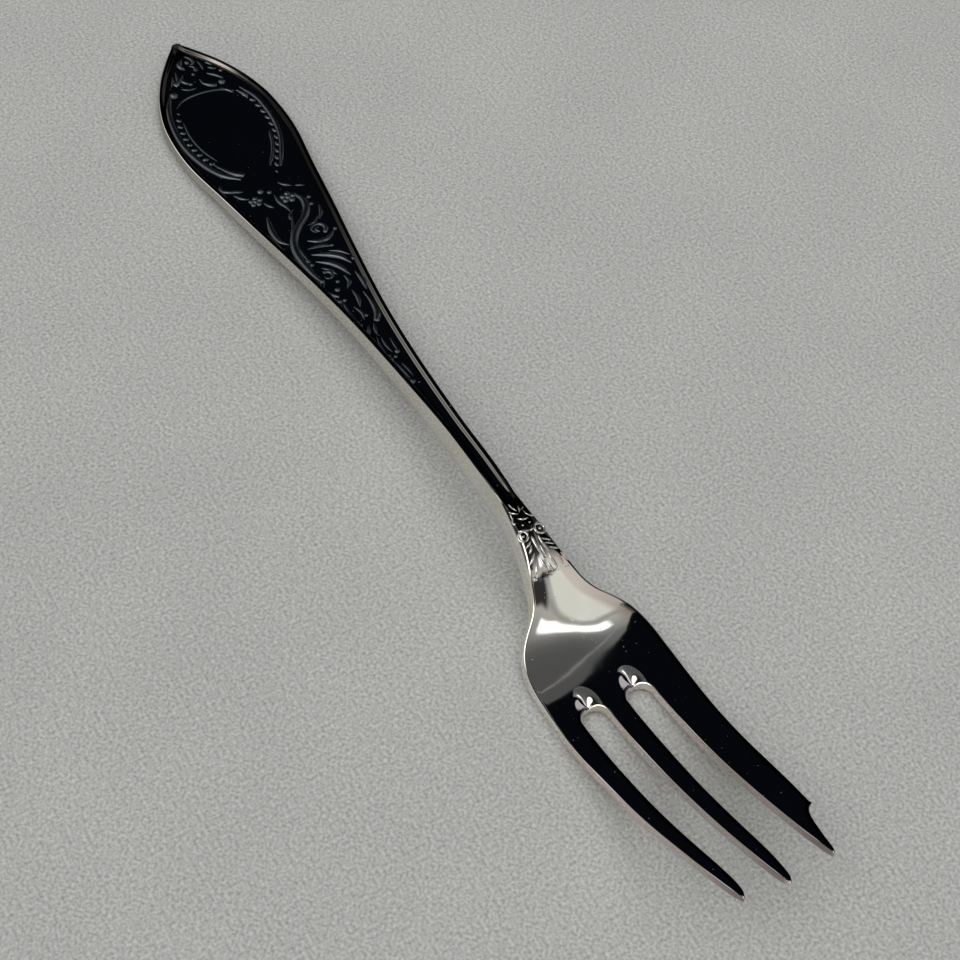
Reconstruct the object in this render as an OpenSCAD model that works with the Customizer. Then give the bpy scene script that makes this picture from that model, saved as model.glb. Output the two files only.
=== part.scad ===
// A pastry fork with three tines, one of them a wide cutting tine, lying face up on a table.
// The real one is struck from a single blank, so the nodes are its regions and its relief ornament.
// x runs from the handle's point to the tines, y to the side of the cutting tine, z up.

/* [Handle] */
// from the handle's point to its widest place
end_len = 19.1; // [15:0.1:21]
// from the widest place to where the leaf has run out into the stem
taper_len = 64; // [56:1:72]
// greatest width of the leaf
handle_w = 16.5; // [13:0.2:19]
// thickness of the leaf near its point
handle_t = 1.8; // [1.4:0.1:2.4]
// how far the point turns up
tip_rise = 1.2; // [0:0.1:2]
// width of the raised rim round the face
rim_w = 0.7; // [0.5:0.05:0.9]
// how deep the face lies below the rim
recess = 0.35; // [0.2:0.05:0.5]
// how far the sides swell out below the rim
side_swell = 0.25; // [0:0.05:0.4]

/* [Stem and neck] */
// length of the stem where its width is even
stem_len = 10; // [7:0.5:14]
// width of the stem at its slimmest
stem_w = 2.4; // [2.2:0.1:3.4]
// thickness of the stem
stem_t = 3.5; // [2.8:0.1:4]
// length of the ornamented neck
neck_len = 10; // [9:0.5:13]
// height of the arch, table to the top of the neck
neck_h = 8.6; // [6.5:0.1:10]
// how far the neck's sides slope out below its top
neck_swell = 0.7; // [0:0.05:0.9]
// height of the crown across the neck
neck_crown = 0.3; // [0.1:0.05:0.5]
// height of the slight crown across the leaf and the plate
face_crown = 0.05; // [0.03:0.01:0.1]

/* [Head] */
// from the neck to the roots of the slots
shoulder_len = 15; // [13:0.5:17]
// from the slot roots to the middle tine's point
tine_len = 31; // [26:0.5:36]
// width across the shoulders
head_w = 16.6; // [14.8:0.2:19]
// thickness of the plate
plate_t = 1.7; // [1.4:0.1:2.2]
// width of each slot at its root
slot_w = 3.3; // [2.6:0.1:3.6]
// width of the middle tine at its root
mid_tine_w = 2.6; // [2.2:0.1:3]
// width of the plain outer tine at its root
plain_tine_w = 2.8; // [2.4:0.1:3.2]
// how far the outer tines end short of the middle one
tine_setback = 1.1; // [0.5:0.1:2]
// how far the tine points rise above the plate
tine_rise = 11; // [7:0.5:13]
// thickness of a tine near its point
tine_tip_t = 1.3; // [1:0.1:1.6]
// from the cutting tine's point back to its notch
notch_back = 6.5; // [4.5:0.1:8]
// depth of the notch
notch_depth = 0.9; // [0.6:0.1:1.4]
// radius of the dish worn round each slot root
dish_r = 2; // [1.6:0.1:2.4]

/* [Ornament] */
// length of the plain oval on the handle, band included
oval_len = 22.5; // [20:0.5:24]
// from the handle's point to the oval
oval_gap = 7.4; // [6.8:0.1:8.2]
// width of the roped band
band_w = 1.1; // [0.8:0.05:1.3]
// length of one twist of the band
twist_len = 1.5; // [1.2:0.1:2]
// height of the relief over the face
relief_h = 0.34; // [0.2:0.02:0.45]
// width of a scroll's ridge
scroll_w = 0.62; // [0.5:0.02:0.8]
// diameter of the small beads
bead_d = 0.7; // [0.5:0.05:0.8]

/* [Hidden] */

silver = [0.80, 0.80, 0.79];
dark_silver = [0.62, 0.63, 0.65];
relief_silver = [0.88, 0.88, 0.86];

leaf_len = end_len + taper_len;
stem_x = leaf_len;
handle_end = leaf_len * 0.88;
neck_x = leaf_len + stem_len;
head_x = neck_x + neck_len;
root_x = head_x + shoulder_len;
fork_len = root_x + tine_len;
slot_x = root_x + slot_w / 2;
join_x = root_x + slot_w * 0.7;
cut_tine_w = head_w - plain_tine_w - mid_tine_w - 2 * slot_w;
sink = relief_h / 10;

// widths: half the width at places along the fork
end_shares = [[0, 0.03], [0.065, 0.176], [0.135, 0.325], [0.24, 0.52], [0.35, 0.675], [0.455, 0.79],
              [0.57, 0.882], [0.695, 0.953], [0.83, 0.988]];
taper_shares = [[0, 1], [0.05, 0.976], [0.1, 0.912], [0.16, 0.82], [0.23, 0.725], [0.31, 0.613],
                [0.4, 0.478], [0.5, 0.34], [0.6, 0.218], [0.7, 0.131], [0.8, 0.07], [0.9, 0.024],
                [0.98, 0.002]];
neck_shares = [[0.1, 0], [0.4, 0.045], [0.7, 0.11], [1, 0.225]];
shoulder_shares = [[0.13, 0.335], [0.2, 0.445], [0.27, 0.6], [0.34, 0.745], [0.42, 0.86], [0.52, 0.938],
                   [0.64, 0.984], [0.78, 0.999], [1, 1]];
width_at = concat(
    [for (s = end_shares) [s[0] * end_len, s[1] * handle_w / 2]],
    [for (s = taper_shares) [end_len + s[0] * taper_len, stem_w / 2 + s[1] * (handle_w - stem_w) / 2]],
    [[stem_x + stem_len / 2, stem_w / 2]],
    [for (s = neck_shares) [neck_x + s[0] * neck_len, stem_w / 2 + s[1] * (head_w - stem_w) / 2]],
    [for (s = shoulder_shares) [head_x + s[0] * shoulder_len, stem_w / 2 + s[1] * (head_w - stem_w) / 2]],
    [[join_x + slot_w, head_w / 2]]);

// heights of the face above the table, as the arch and the tines lift it
end_rise_shares = [[0, 1], [0.17, 0.52], [0.36, 0.18], [0.56, 0.03], [0.7, 0]];
arch_shares = [[0, 0.02], [0.11, 0.09], [0.22, 0.19], [0.34, 0.31], [0.5, 0.44], [0.66, 0.56],
               [0.81, 0.7], [0.94, 0.85]];
fall_shares = [[0.3, 0.985], [0.65, 0.88], [1, 0.63], [1.3, 0.35], [1.6, 0.12], [2, 0.01]];
tine_rise_shares = [[0, 0.012], [0.12, 0.05], [0.28, 0.15], [0.42, 0.285], [0.55, 0.44], [0.68, 0.605],
                    [0.81, 0.77], [0.91, 0.89], [1, 1]];
face_at = concat(
    [for (s = end_rise_shares) [s[0] * end_len, handle_t + s[1] * tip_rise]],
    [for (s = arch_shares) [end_len + s[0] * taper_len, handle_t + s[1] * (neck_h - handle_t)]],
    [[stem_x + stem_len * 0.45, handle_t + 0.97 * (neck_h - handle_t)], [neck_x, neck_h]],
    [for (s = fall_shares) [neck_x + s[0] * neck_len, plate_t + s[1] * (neck_h - plate_t)]],
    [for (s = tine_rise_shares) [root_x + s[0] * tine_len, plate_t + s[1] * tine_rise]]);

thick_at = [
    [0, handle_t * 0.7], [end_len * 0.3, handle_t * 0.9], [end_len * 0.7, handle_t],
    [end_len + taper_len * 0.2, handle_t + (stem_t - handle_t) * 0.2],
    [end_len + taper_len * 0.5, handle_t + (stem_t - handle_t) * 0.6],
    [end_len + taper_len * 0.85, stem_t], [stem_x + stem_len * 0.3, stem_t],
    [neck_x + neck_len * 0.4, plate_t + (stem_t - plate_t) * 0.92],
    [head_x, plate_t + (stem_t - plate_t) * 0.65],
    [head_x + shoulder_len * 0.25, plate_t + (stem_t - plate_t) * 0.25],
    [head_x + shoulder_len * 0.5, plate_t], [root_x, plate_t], [join_x + slot_w, plate_t]];

// how far the sides stand out below the face's edge
swell_at = [[0, 0], [end_len * 0.25, side_swell], [handle_end, side_swell],
            [neck_x + neck_len * 0.2, neck_swell], [neck_x + neck_len * 0.8, neck_swell],
            [head_x + shoulder_len * 0.4, side_swell], [root_x, 0], [fork_len, 0]];

crown_at = [[0, face_crown], [neck_x - stem_len * 0.2, face_crown], [neck_x + neck_len * 0.4, neck_crown],
            [head_x + shoulder_len * 0.1, neck_crown], [head_x + shoulder_len * 0.5, face_crown],
            [fork_len, face_crown]];
rim_at = [[0, 1], [neck_x - stem_len * 0.1, 1], [neck_x + neck_len * 0.3, 0], [fork_len, 0]];

// natural cubic spline through a table of [place, value]
function sweep(t, i = 1, c = [0], d = [0]) =
    i == len(t) - 1 ? [c, d] :
    let (h0 = t[i][0] - t[i - 1][0],
         h1 = t[i + 1][0] - t[i][0],
         r = 6 * ((t[i + 1][1] - t[i][1]) / h1 - (t[i][1] - t[i - 1][1]) / h0),
         m = 2 * (h0 + h1) - h0 * c[i - 1])
    sweep(t, i + 1, concat(c, [h1 / m]), concat(d, [(r - h0 * d[i - 1]) / m]));
function back(cd, i, m) = i == 0 ? concat([0], m) : back(cd, i - 1, concat([cd[1][i] - cd[0][i] * m[0]], m));
function bends(t) = back(sweep(t), len(t) - 2, [0]);
function at(t, m, x) =
    let (k = max(concat([0], [for (i = [0:len(t) - 2]) if (x >= t[i][0]) i])),
         h = t[k + 1][0] - t[k][0],
         a = (t[k + 1][0] - x) / h,
         b = (x - t[k][0]) / h)
    a * t[k][1] + b * t[k + 1][1] + ((a * a * a - a) * m[k] + (b * b * b - b) * m[k + 1]) * h * h / 6;
function slope(t, m, x) = (at(t, m, x + rim_w / 50) - at(t, m, x - rim_w / 50)) / (rim_w / 25);

width_bends = bends(width_at);
face_bends = bends(face_at);
thick_bends = bends(thick_at);

function half(x) = at(width_at, width_bends, x);
function thick(x) = at(thick_at, thick_bends, x);
function raw_face(x) = at(face_at, face_bends, x);

// the fork rests on the leaf's belly and on the plate's, so the line under both is laid level
end_steps = [for (i = [4:16]) end_len * i / 16];
belly_steps = [for (i = [6:20]) head_x + shoulder_len * i / 20];
end_low = min([for (x = end_steps) raw_face(x) - thick(x)]);
belly_low = min([for (x = belly_steps) raw_face(x) - thick(x)]);
end_low_x = [for (x = end_steps) if (raw_face(x) - thick(x) == end_low) x][0];
belly_low_x = [for (x = belly_steps) if (raw_face(x) - thick(x) == belly_low) x][0];
function level(x) = end_low + (belly_low - end_low) * (x - end_low_x) / (belly_low_x - end_low_x);
function face(x) = raw_face(x) - level(x);

// the rim is as wide square to the outline at the point as along the sides
function floor_half(x) =
    let (s = slope(width_at, width_bends, max(x, end_len * 0.03)))
    max(half(x) - rim_w * sqrt(1 + s * s), half(x) * 0.12);
function depth(x) = recess * lookup(x, rim_at) * min(1, floor_half(x) / (2 * rim_w));
function floor_z(x) = face(x) - depth(x);
function top_z(x, y) =
    let (v = min(1, abs(y) / floor_half(x)))
    floor_z(x) + lookup(x, crown_at) * (1 - v * v);

// one cross-section: the face between its rims, the rounded sides and the underside
function side_of(x) =
    let (w = half(x), f = floor_half(x), z = face(x), t = thick(x), r = min(rim_w, w / 2),
         q = min(t * 0.45, w * 0.6), b = w + lookup(x, swell_at))
    [[f, floor_z(x)], [f + (w - f) * 0.36, z], [w - (w - f) * 0.34, z - r * 0.05],
     [w - r * 0.08, z - r * 0.3], [(w + b) / 2, z - t * 0.42], [b - q * 0.1, z - t + q * 0.7],
     [b - q * 0.5, z - t + q * 0.2], [b - q * 1.15, z - t]];
function section(x) =
    let (s = side_of(x), f = floor_half(x))
    concat([for (v = [0.2, 0.6]) [-f * v, top_z(x, f * v)]], [for (p = s) [-p[0], p[1]]],
           [for (i = [len(s) - 1:-1:0]) s[i]], [for (v = [0.6, 0.2]) [f * v, top_z(x, f * v)]]);

// a solid skinned over rings that all have as many points; a fanned end has a point in its middle,
// so that a cut across it leaves no slivers under the nearly level top
function middle(r) = [for (k = [0:2]) [for (p = r) p[k]] * [for (p = r) 1 / len(r)]];
module skin(rings, fanned = false) {
    n = len(rings[0]);
    m = len(rings);
    polyhedron(
        points = concat([for (r = rings) for (p = r) p], [middle(rings[0]), middle(rings[m - 1])]),
        faces = concat(
            fanned ? [for (j = [0:n - 1]) [m * n, j, (j + 1) % n]] : [[for (j = [0:n - 1]) j]],
            fanned ? [for (j = [0:n - 1]) [m * n + 1, (m - 1) * n + (j + 1) % n, (m - 1) * n + j]] :
                [[for (j = [n - 1:-1:0]) (m - 1) * n + j]],
            [for (i = [0:m - 2]) for (j = [0:n - 1]) [i * n + j, (i + 1) * n + j, i * n + (j + 1) % n]],
            [for (i = [0:m - 2]) for (j = [0:n - 1])
                [(i + 1) * n + j, (i + 1) * n + (j + 1) % n, i * n + (j + 1) % n]]));
}

module body(x0, x1, steps, fanned = false) {
    skin([for (i = [0:steps]) let (x = x0 + (x1 - x0) * i / steps) [for (p = section(x)) [x, p[0], p[1]]]],
         fanned);
}

// the plate up to where the slots' sides run straight; the slot roots are round, and dished in front
slot_ys = [-head_w / 2 + plain_tine_w + slot_w / 2, -head_w / 2 + plain_tine_w + mid_tine_w + slot_w * 1.5];
dish_depth = plate_t * 0.4;
dish_x = root_x - dish_r / 2;

// edges of the tines: share of the length past the slot roots, share of the width at the root
plain_low_shares = [[0, 0], [0.12, 0.08], [0.29, 0.215], [0.43, 0.295], [0.58, 0.425], [0.72, 0.595],
                    [0.8, 0.7], [0.9, 0.87], [0.97, 1.01], [1, 1.1]];
plain_high_shares = [[0, 1], [0.14, 1.03], [0.3, 1.07], [0.47, 1.1], [0.62, 1.165], [0.72, 1.235],
                     [0.83, 1.32], [0.9, 1.355], [0.96, 1.32], [1, 1.2]];
middle_low_shares = [[0, 0], [0.13, 0.06], [0.28, 0.115], [0.42, 0.155], [0.63, 0.235], [0.77, 0.34],
                     [0.87, 0.455], [0.95, 0.58], [1, 0.69]];
middle_high_shares = [[0, 1], [0.14, 1.03], [0.28, 1.038], [0.45, 1.002], [0.6, 1], [0.73, 1.018],
                      [0.86, 1.038], [0.92, 1.005], [0.97, 0.92], [1, 0.8]];
cutting_low_shares = [[0, 0], [0.12, 0.04], [0.28, 0.068], [0.53, 0.11], [0.71, 0.165], [0.8, 0.205],
                      [0.88, 0.255], [0.95, 0.32], [1, 0.37]];
cutting_high_shares = [[0, 1], [0.2, 0.976], [0.42, 0.962], [0.62, 0.946], [0.8, 0.885], [1, 0.8]];
cutting_point_share = 0.425;
notch_shares = [[0, 0], [0.03, 0.35], [0.07, 0.62], [0.13, 0.83], [0.21, 0.95], [0.32, 1], [1, 1]];

mid_y = -head_w / 2 + plain_tine_w + slot_w;
cut_y = mid_y + mid_tine_w + slot_w;
mid_len = fork_len - join_x;
side_len = mid_len - tine_setback;
cut_len = mid_len - tine_setback / 2;

// the wide tine's outer edge steps in at the notch and then runs to its point
function past_notch(s) = (s * cut_len - cut_len + notch_back) / notch_back;
function cutting_high(s, bent) =
    let (u = past_notch(s), corner = at(cutting_high_shares, bent, 1 - notch_back / cut_len),
         d = notch_depth / cut_tine_w)
    u <= 0 ? at(cutting_high_shares, bent, s) :
    cutting_point_share + (corner - d - cutting_point_share) * (1 - u) + d * (1 - lookup(u, notch_shares));

function tine_t(s) =
    let (u = max(0, (s - 0.94) / 0.06))
    (plate_t + (tine_tip_t - plate_t) * s * s) * (0.4 + 0.6 * sqrt(max(0, 1 - u * u)));
function tine_ring(x, lo, hi, t) =
    let (z = face(x), w = hi - lo, e = min(t * 0.24, w * 0.22))
    [[x, hi - e, z], [x, lo + e, z], [x, lo + e * 0.25, z - e * 0.3], [x, lo, z - e], [x, lo, z - t * 0.72],
     [x, lo + w * 0.04, z - t * 0.92], [x, lo + w * 0.13, z - t], [x, hi - w * 0.13, z - t],
     [x, hi - w * 0.04, z - t * 0.92], [x, hi, z - t * 0.72], [x, hi, z - e], [x, hi - e * 0.25, z - e * 0.3]];

tine_steps = [for (i = [0:16]) 0.8 * i / 16, 0.83, 0.86, 0.89, 0.915, 0.94, 0.96, 0.975, 0.987, 0.995, 1];
notch_steps = [0, 0.015, 0.03, 0.05, 0.07, 0.1, 0.13, 0.17, 0.21, 0.26, 0.32, 0.4, 0.5, 0.6, 0.7, 0.78, 0.85,
               0.91, 0.96, 1];
cut_steps = concat([for (i = [0:15]) (1 - notch_back / cut_len) * i / 16],
                   [for (u = notch_steps) 1 - notch_back / cut_len * (1 - u)]);

// places on the ornamented faces: x as a share of the leaf inside its rim, or of the neck, and y of
// the face's half width there
function on_leaf(s) = let (x = rim_w + s[0] * (leaf_len - rim_w)) [x, s[1] * floor_half(x)];
function on_neck(s) = let (x = neck_x + s[0] * neck_len) [x, s[1] * half(x)];

// a smooth path through a few places
function spot(p, i) = p[max(0, min(len(p) - 1, i))];
function span(a, b, c, d, t) =
    0.5 * (2 * b + (c - a) * t + (2 * a - 5 * b + 4 * c - d) * t * t + (3 * b - a - 3 * c + d) * t * t * t);
function path(p, n) =
    concat([for (i = [0:len(p) - 2]) for (k = [0:n - 1])
               span(spot(p, i - 1), p[i], p[i + 1], spot(p, i + 2), k / n)], [p[len(p) - 1]]);
function volute(c, r, turn, hand) =
    [for (i = [0:18]) let (a = hand * (turn + 24 * i), q = r * (1 - 0.7 * i / 18)) c + q * [cos(a), sin(a)]];

// a ridge of relief along a path; swell gives its share of the width and height from end to end
stroke_swell = [[0, 0.35], [0.15, 0.9], [0.5, 1], [0.8, 0.85], [1, 0.3]];
leaf_swell = [[0, 0.2], [0.2, 0.65], [0.45, 1], [0.7, 0.85], [0.9, 0.45], [1, 0.15]];
scroll_swell = [[0, 0.95], [0.5, 0.8], [0.85, 0.6], [1, 0.45]];
function ridge_ring(p, n, w, h) =
    let (a = p - n * w / 2, b = p + n * w / 2, z = top_z(p[0], p[1]))
    [[a[0], a[1], top_z(a[0], a[1]) - sink], [p[0] - n[0] * w * 0.3, p[1] - n[1] * w * 0.3, z + h * 0.72],
     [p[0], p[1], z + h], [p[0] + n[0] * w * 0.3, p[1] + n[1] * w * 0.3, z + h * 0.72],
     [b[0], b[1], top_z(b[0], b[1]) - sink]];
module ridge(pts, w, h, swell, ropes = 0) {
    m = len(pts) - 1;
    skin([for (i = [0:m])
        let (d = pts[min(m, i + 1)] - pts[max(0, i - 1)],
             n = [d[1], -d[0]] / norm(d),
             k = lookup(i / m, swell),
             rope = ropes == 0 ? 1 : 1 - 0.4 * pow(sin(180 * ropes * i / m), 2))
        ridge_ring(pts[i], n, w * k, h * k * rope)]);
}
module bead(p, d, h) {
    z = top_z(p[0], p[1]);
    translate([p[0], p[1], z - sink * 2])
    rotate_extrude($fn = 24)
    polygon([[0, 0], [d / 2, 0], [d * 0.45, h * 0.55], [d * 0.3, h * 0.95], [0, h * 1.15]]);
}
module blossom(p, r, h) {
    bead(p, r * 0.62, h);
    for (a = [36:72:324])
        bead(p + r * 0.68 * [cos(a), sin(a)], r * 0.64, h * 0.85);
}

module handle() {
    color(silver)
    body(0, handle_end, 58);
}

module stem() {
    color(dark_silver)
    body(handle_end, neck_x, 14);
}

module neck() {
    color(silver)
    body(neck_x, head_x, 12);
}

module shoulder_plate() {
    color(dark_silver)
    difference() {
        body(head_x, join_x, 24, true);
        for (y = slot_ys) {
            translate([slot_x, y, -plate_t])
            linear_extrude(4 * plate_t) {
                circle(r = slot_w / 2, $fn = 48);
                translate([0, -slot_w / 2])
                square([slot_w, slot_w]);
            }
            translate([dish_x, y, face(dish_x) + dish_r - dish_depth])
            sphere(r = dish_r, $fn = 40);
        }
    }
}

module plain_tine() {
    lo = bends(plain_low_shares);
    hi = bends(plain_high_shares);
    color(silver)
    skin([for (s = tine_steps)
        tine_ring(join_x + s * side_len, -head_w / 2 + plain_tine_w * at(plain_low_shares, lo, s),
                  -head_w / 2 + plain_tine_w * at(plain_high_shares, hi, s), tine_t(s))]);
}

module middle_tine() {
    lo = bends(middle_low_shares);
    hi = bends(middle_high_shares);
    color(silver)
    skin([for (s = tine_steps)
        tine_ring(join_x + s * mid_len, mid_y + mid_tine_w * at(middle_low_shares, lo, s),
                  mid_y + mid_tine_w * at(middle_high_shares, hi, s), tine_t(s))]);
}

module cutting_tine() {
    lo = bends(cutting_low_shares);
    hi = bends(cutting_high_shares);
    color(silver)
    skin([for (s = cut_steps)
        tine_ring(join_x + s * cut_len, cut_y + cut_tine_w * at(cutting_low_shares, lo, s),
                  cut_y + cut_tine_w * cutting_high(s, hi), tine_t(s))]);
}

// the roped band follows an ellipse, open at the point's end and where its halves would cross
oval_x = oval_gap + oval_len / 2;
oval_half = floor_half(oval_x) * 0.8;
function oval_arc(from, to, n) =
    [for (i = [0:n]) let (a = from + (to - from) * i / n)
        [oval_x + (oval_len - band_w) / 2 * cos(a), oval_half * sin(a)]];
module oval_band() {
    upper = floor(oval_len * 1.15 / twist_len);
    lower = floor(oval_len * 1.2 / twist_len);
    color(relief_silver) {
        ridge(oval_arc(15, 137, 4 * upper), band_w, relief_h, stroke_swell, upper);
        ridge(oval_arc(-22, -147, 4 * lower), band_w, relief_h, stroke_swell, lower);
    }
}

spray_leaf_shares = [
    [[0.041, -0.42], [0.048, -0.62], [0.052, -0.84]], [[0.052, -0.12], [0.061, -0.34], [0.064, -0.58]],
    [[0.041, 0.42], [0.048, 0.62], [0.052, 0.84]], [[0.053, 0.14], [0.063, 0.32], [0.068, 0.56]]];
spray_bead_shares = [[0.069, -0.8], [0.076, 0.76]];
blossom_share = [0.031, 0];
module tip_spray() {
    color(relief_silver) {
        blossom(on_leaf(blossom_share), bead_d * 1.5, relief_h);
        for (s = spray_leaf_shares)
            ridge(path([for (q = s) on_leaf(q)], 4), bead_d * 1.1, relief_h, leaf_swell);
        for (s = spray_bead_shares)
            bead(on_leaf(s), bead_d * 1.2, relief_h);
    }
}

main_scroll_shares = [[0.427, 0.46], [0.446, 0.33], [0.47, 0.04], [0.49, -0.32], [0.518, -0.6],
                      [0.549, -0.72], [0.579, -0.7], [0.6, -0.66]];
long_leaf_shares = [
    [[0.325, -0.84], [0.339, -0.86], [0.35, -0.79], [0.358, -0.62]],
    [[0.434, -0.7], [0.457, -0.84], [0.479, -0.86], [0.497, -0.86]],
    [[0.522, -0.2], [0.527, 0.13], [0.537, 0.5]],
    [[0.541, -0.24], [0.561, 0.06], [0.585, 0.38], [0.606, 0.52]],
    [[0.637, 0.5], [0.659, 0.64], [0.683, 0.63], [0.702, 0.37], [0.714, -0.02]]];
short_leaf_shares = [
    [[0.361, 0.17], [0.373, 0.33], [0.385, 0.44]], [[0.429, -0.08], [0.441, -0.18], [0.455, -0.17]],
    [[0.546, 0.58], [0.56, 0.72], [0.578, 0.68]], [[0.611, -0.66], [0.625, -0.7], [0.64, -0.52]],
    [[0.664, -0.62], [0.683, -0.67], [0.701, -0.6]], [[0.661, 0.13], [0.679, 0], [0.694, -0.26]]];
scroll_bead_shares = [[0.37, -0.34], [0.386, 0.66], [0.449, 0.76], [0.508, 0.78], [0.651, -0.6],
                      [0.711, -0.56], [0.418, -0.4]];
scroll_blossom_shares = [[0.404, 0.14], [0.384, -0.66]];
volute_shares = [[0.499, 0.3], [0.59, -0.14], [0.627, 0.02]];
volute_r = [1.9, 1.25, 0.9];
module scrollwork() {
    main = path([for (q = main_scroll_shares) on_leaf(q)], 5);
    color(relief_silver) {
        ridge(main, scroll_w * 1.1, relief_h, stroke_swell, 16);
        for (s = long_leaf_shares)
            ridge(path([for (q = s) on_leaf(q)], 4), scroll_w * 1.25, relief_h, leaf_swell);
        for (s = short_leaf_shares)
            ridge(path([for (q = s) on_leaf(q)], 4), scroll_w, relief_h, leaf_swell);
        for (i = [0:2])
            ridge(volute(on_leaf(volute_shares[i]), volute_r[i] * scroll_w, 200, i == 1 ? 1 : -1),
                  scroll_w * 0.6, relief_h, scroll_swell);
        for (s = scroll_bead_shares)
            bead(on_leaf(s), bead_d, relief_h);
        for (s = scroll_blossom_shares)
            blossom(on_leaf(s), bead_d * 1.6, relief_h);
    }
}

drop_leaf_shares = [
    [[0.728, 0.2], [0.75, 0.0], [0.777, -0.12]], [[0.735, -0.5], [0.76, -0.62], [0.782, -0.62]],
    [[0.803, -0.42], [0.825, -0.42], [0.845, -0.36]], [[0.808, 0.22], [0.826, 0.22], [0.844, 0.16]]];
drop_bead_shares = [[0.791, 0.16], [0.793, -0.5], [0.858, -0.15]];
module pendant_drop() {
    color(relief_silver) {
        for (s = drop_leaf_shares)
            ridge(path([for (q = s) on_leaf(q)], 4), scroll_w * 0.7, relief_h, leaf_swell);
        for (s = drop_bead_shares)
            bead(on_leaf(s), bead_d * 0.8, relief_h);
    }
}

neck_leaf_shares = [
    [[0.08, -0.24], [0.16, -0.14], [0.23, -0.06]], [[0.12, 0.5], [0.18, 0.32], [0.24, 0.16]],
    [[0.15, -0.7], [0.21, -0.48], [0.25, -0.24]],
    [[0.3, 0.3], [0.345, 0.42], [0.365, 0.68]], [[0.3, -0.3], [0.345, -0.42], [0.365, -0.68]],
    [[0.62, 0.3], [0.66, 0.46], [0.69, 0.66]], [[0.62, -0.3], [0.66, -0.46], [0.69, -0.66]],
    [[0.69, 0.26], [0.73, 0.44], [0.76, 0.7]], [[0.69, -0.26], [0.73, -0.44], [0.76, -0.7]],
    [[0.76, 0.24], [0.8, 0.44], [0.83, 0.72]], [[0.76, -0.24], [0.8, -0.44], [0.83, -0.72]],
    [[0.6, 0], [0.7, 0], [0.8, 0]]];
calyx_shares = [
    [[0.84, 0], [0.92, 0], [1, 0]], [[0.84, 0.2], [0.91, 0.28], [0.985, 0.34]],
    [[0.84, -0.2], [0.91, -0.28], [0.985, -0.34]], [[0.86, 0.42], [0.91, 0.52], [0.96, 0.62]],
    [[0.86, -0.42], [0.91, -0.52], [0.96, -0.62]]];
neck_volute_shares = [[0.51, 0.56], [0.51, -0.56]];
module neck_spray() {
    color(relief_silver) {
        for (s = neck_leaf_shares)
            ridge(path([for (q = s) on_neck(q)], 3), scroll_w * 0.5, relief_h * 0.8, leaf_swell);
        for (s = calyx_shares)
            ridge(path([for (q = s) on_neck(q)], 3), scroll_w * 0.8, relief_h * 0.8, leaf_swell);
        for (i = [0:1])
            ridge(volute(on_neck(neck_volute_shares[i]), scroll_w * 0.85, 180, 1 - 2 * i), scroll_w * 0.38,
                  relief_h * 0.8, scroll_swell);
    }
}

translate([-fork_len / 2, 0, 0]) {
    handle();
    oval_band();
    tip_spray();
    scrollwork();
    pendant_drop();
    stem();
    neck();
    neck_spray();
    shoulder_plate();
    plain_tine();
    middle_tine();
    cutting_tine();
}
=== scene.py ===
import math

import bmesh
import bpy
import numpy as np
from mathutils import Matrix, Vector, geometry, kdtree


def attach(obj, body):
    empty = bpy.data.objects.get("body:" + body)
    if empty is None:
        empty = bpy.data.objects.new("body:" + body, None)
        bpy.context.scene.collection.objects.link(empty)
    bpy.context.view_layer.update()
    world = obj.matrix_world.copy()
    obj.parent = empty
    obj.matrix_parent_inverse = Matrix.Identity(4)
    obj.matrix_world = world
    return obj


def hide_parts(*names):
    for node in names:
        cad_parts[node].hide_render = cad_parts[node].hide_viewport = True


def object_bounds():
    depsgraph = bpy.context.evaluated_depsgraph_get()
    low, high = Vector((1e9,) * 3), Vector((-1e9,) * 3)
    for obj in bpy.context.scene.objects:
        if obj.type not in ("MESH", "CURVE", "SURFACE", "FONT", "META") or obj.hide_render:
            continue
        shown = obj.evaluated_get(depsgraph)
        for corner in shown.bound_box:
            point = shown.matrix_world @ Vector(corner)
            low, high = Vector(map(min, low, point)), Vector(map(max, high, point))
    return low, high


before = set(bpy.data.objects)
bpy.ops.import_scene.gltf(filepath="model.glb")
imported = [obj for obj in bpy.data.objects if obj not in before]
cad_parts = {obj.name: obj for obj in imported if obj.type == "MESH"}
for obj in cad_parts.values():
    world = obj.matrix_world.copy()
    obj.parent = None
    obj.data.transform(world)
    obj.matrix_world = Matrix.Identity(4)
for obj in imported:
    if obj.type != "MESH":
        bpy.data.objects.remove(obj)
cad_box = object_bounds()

# The blank: one piece of silver, rolled, blanked out and struck in a die into leaf, stem, neck, plate and
# tines. Its outline and heights are laid out in millimetres along the fork, with x = 0 at the handle's point,
# and the bar is graded thick at the stem and thin at the points.
MM = 0.001
END, TAPER, STEM, NECK, SHOULDER, TINE = 19.1, 64.0, 10.0, 10.0, 15.0, 31.0
LEAF_HALF, STEM_HALF, HEAD_HALF = 8.25, 1.2, 8.3
LEAF_T, STEM_T, PLATE_T, POINT_T = 1.8, 3.5, 1.7, 1.3
POINT_RISE, NECK_H, TINE_RISE = 1.2, 8.6, 11.0
RIM, RECESS, SIDE_SWELL, NECK_SWELL = 0.85, 0.3, 0.25, 0.7
FACE_CROWN, NECK_CROWN, HEAD_CROWN = 0.05, 0.3, 0.4
leaf_end = END + TAPER
handle_end = leaf_end * 0.88
neck_x = leaf_end + STEM
head_x = neck_x + NECK
root_x = head_x + SHOULDER
fork_len = root_x + TINE
# the plate's own lines run on a little past the roots, to where the tines' lines have taken over
run_out_x = root_x + 5.6


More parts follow.
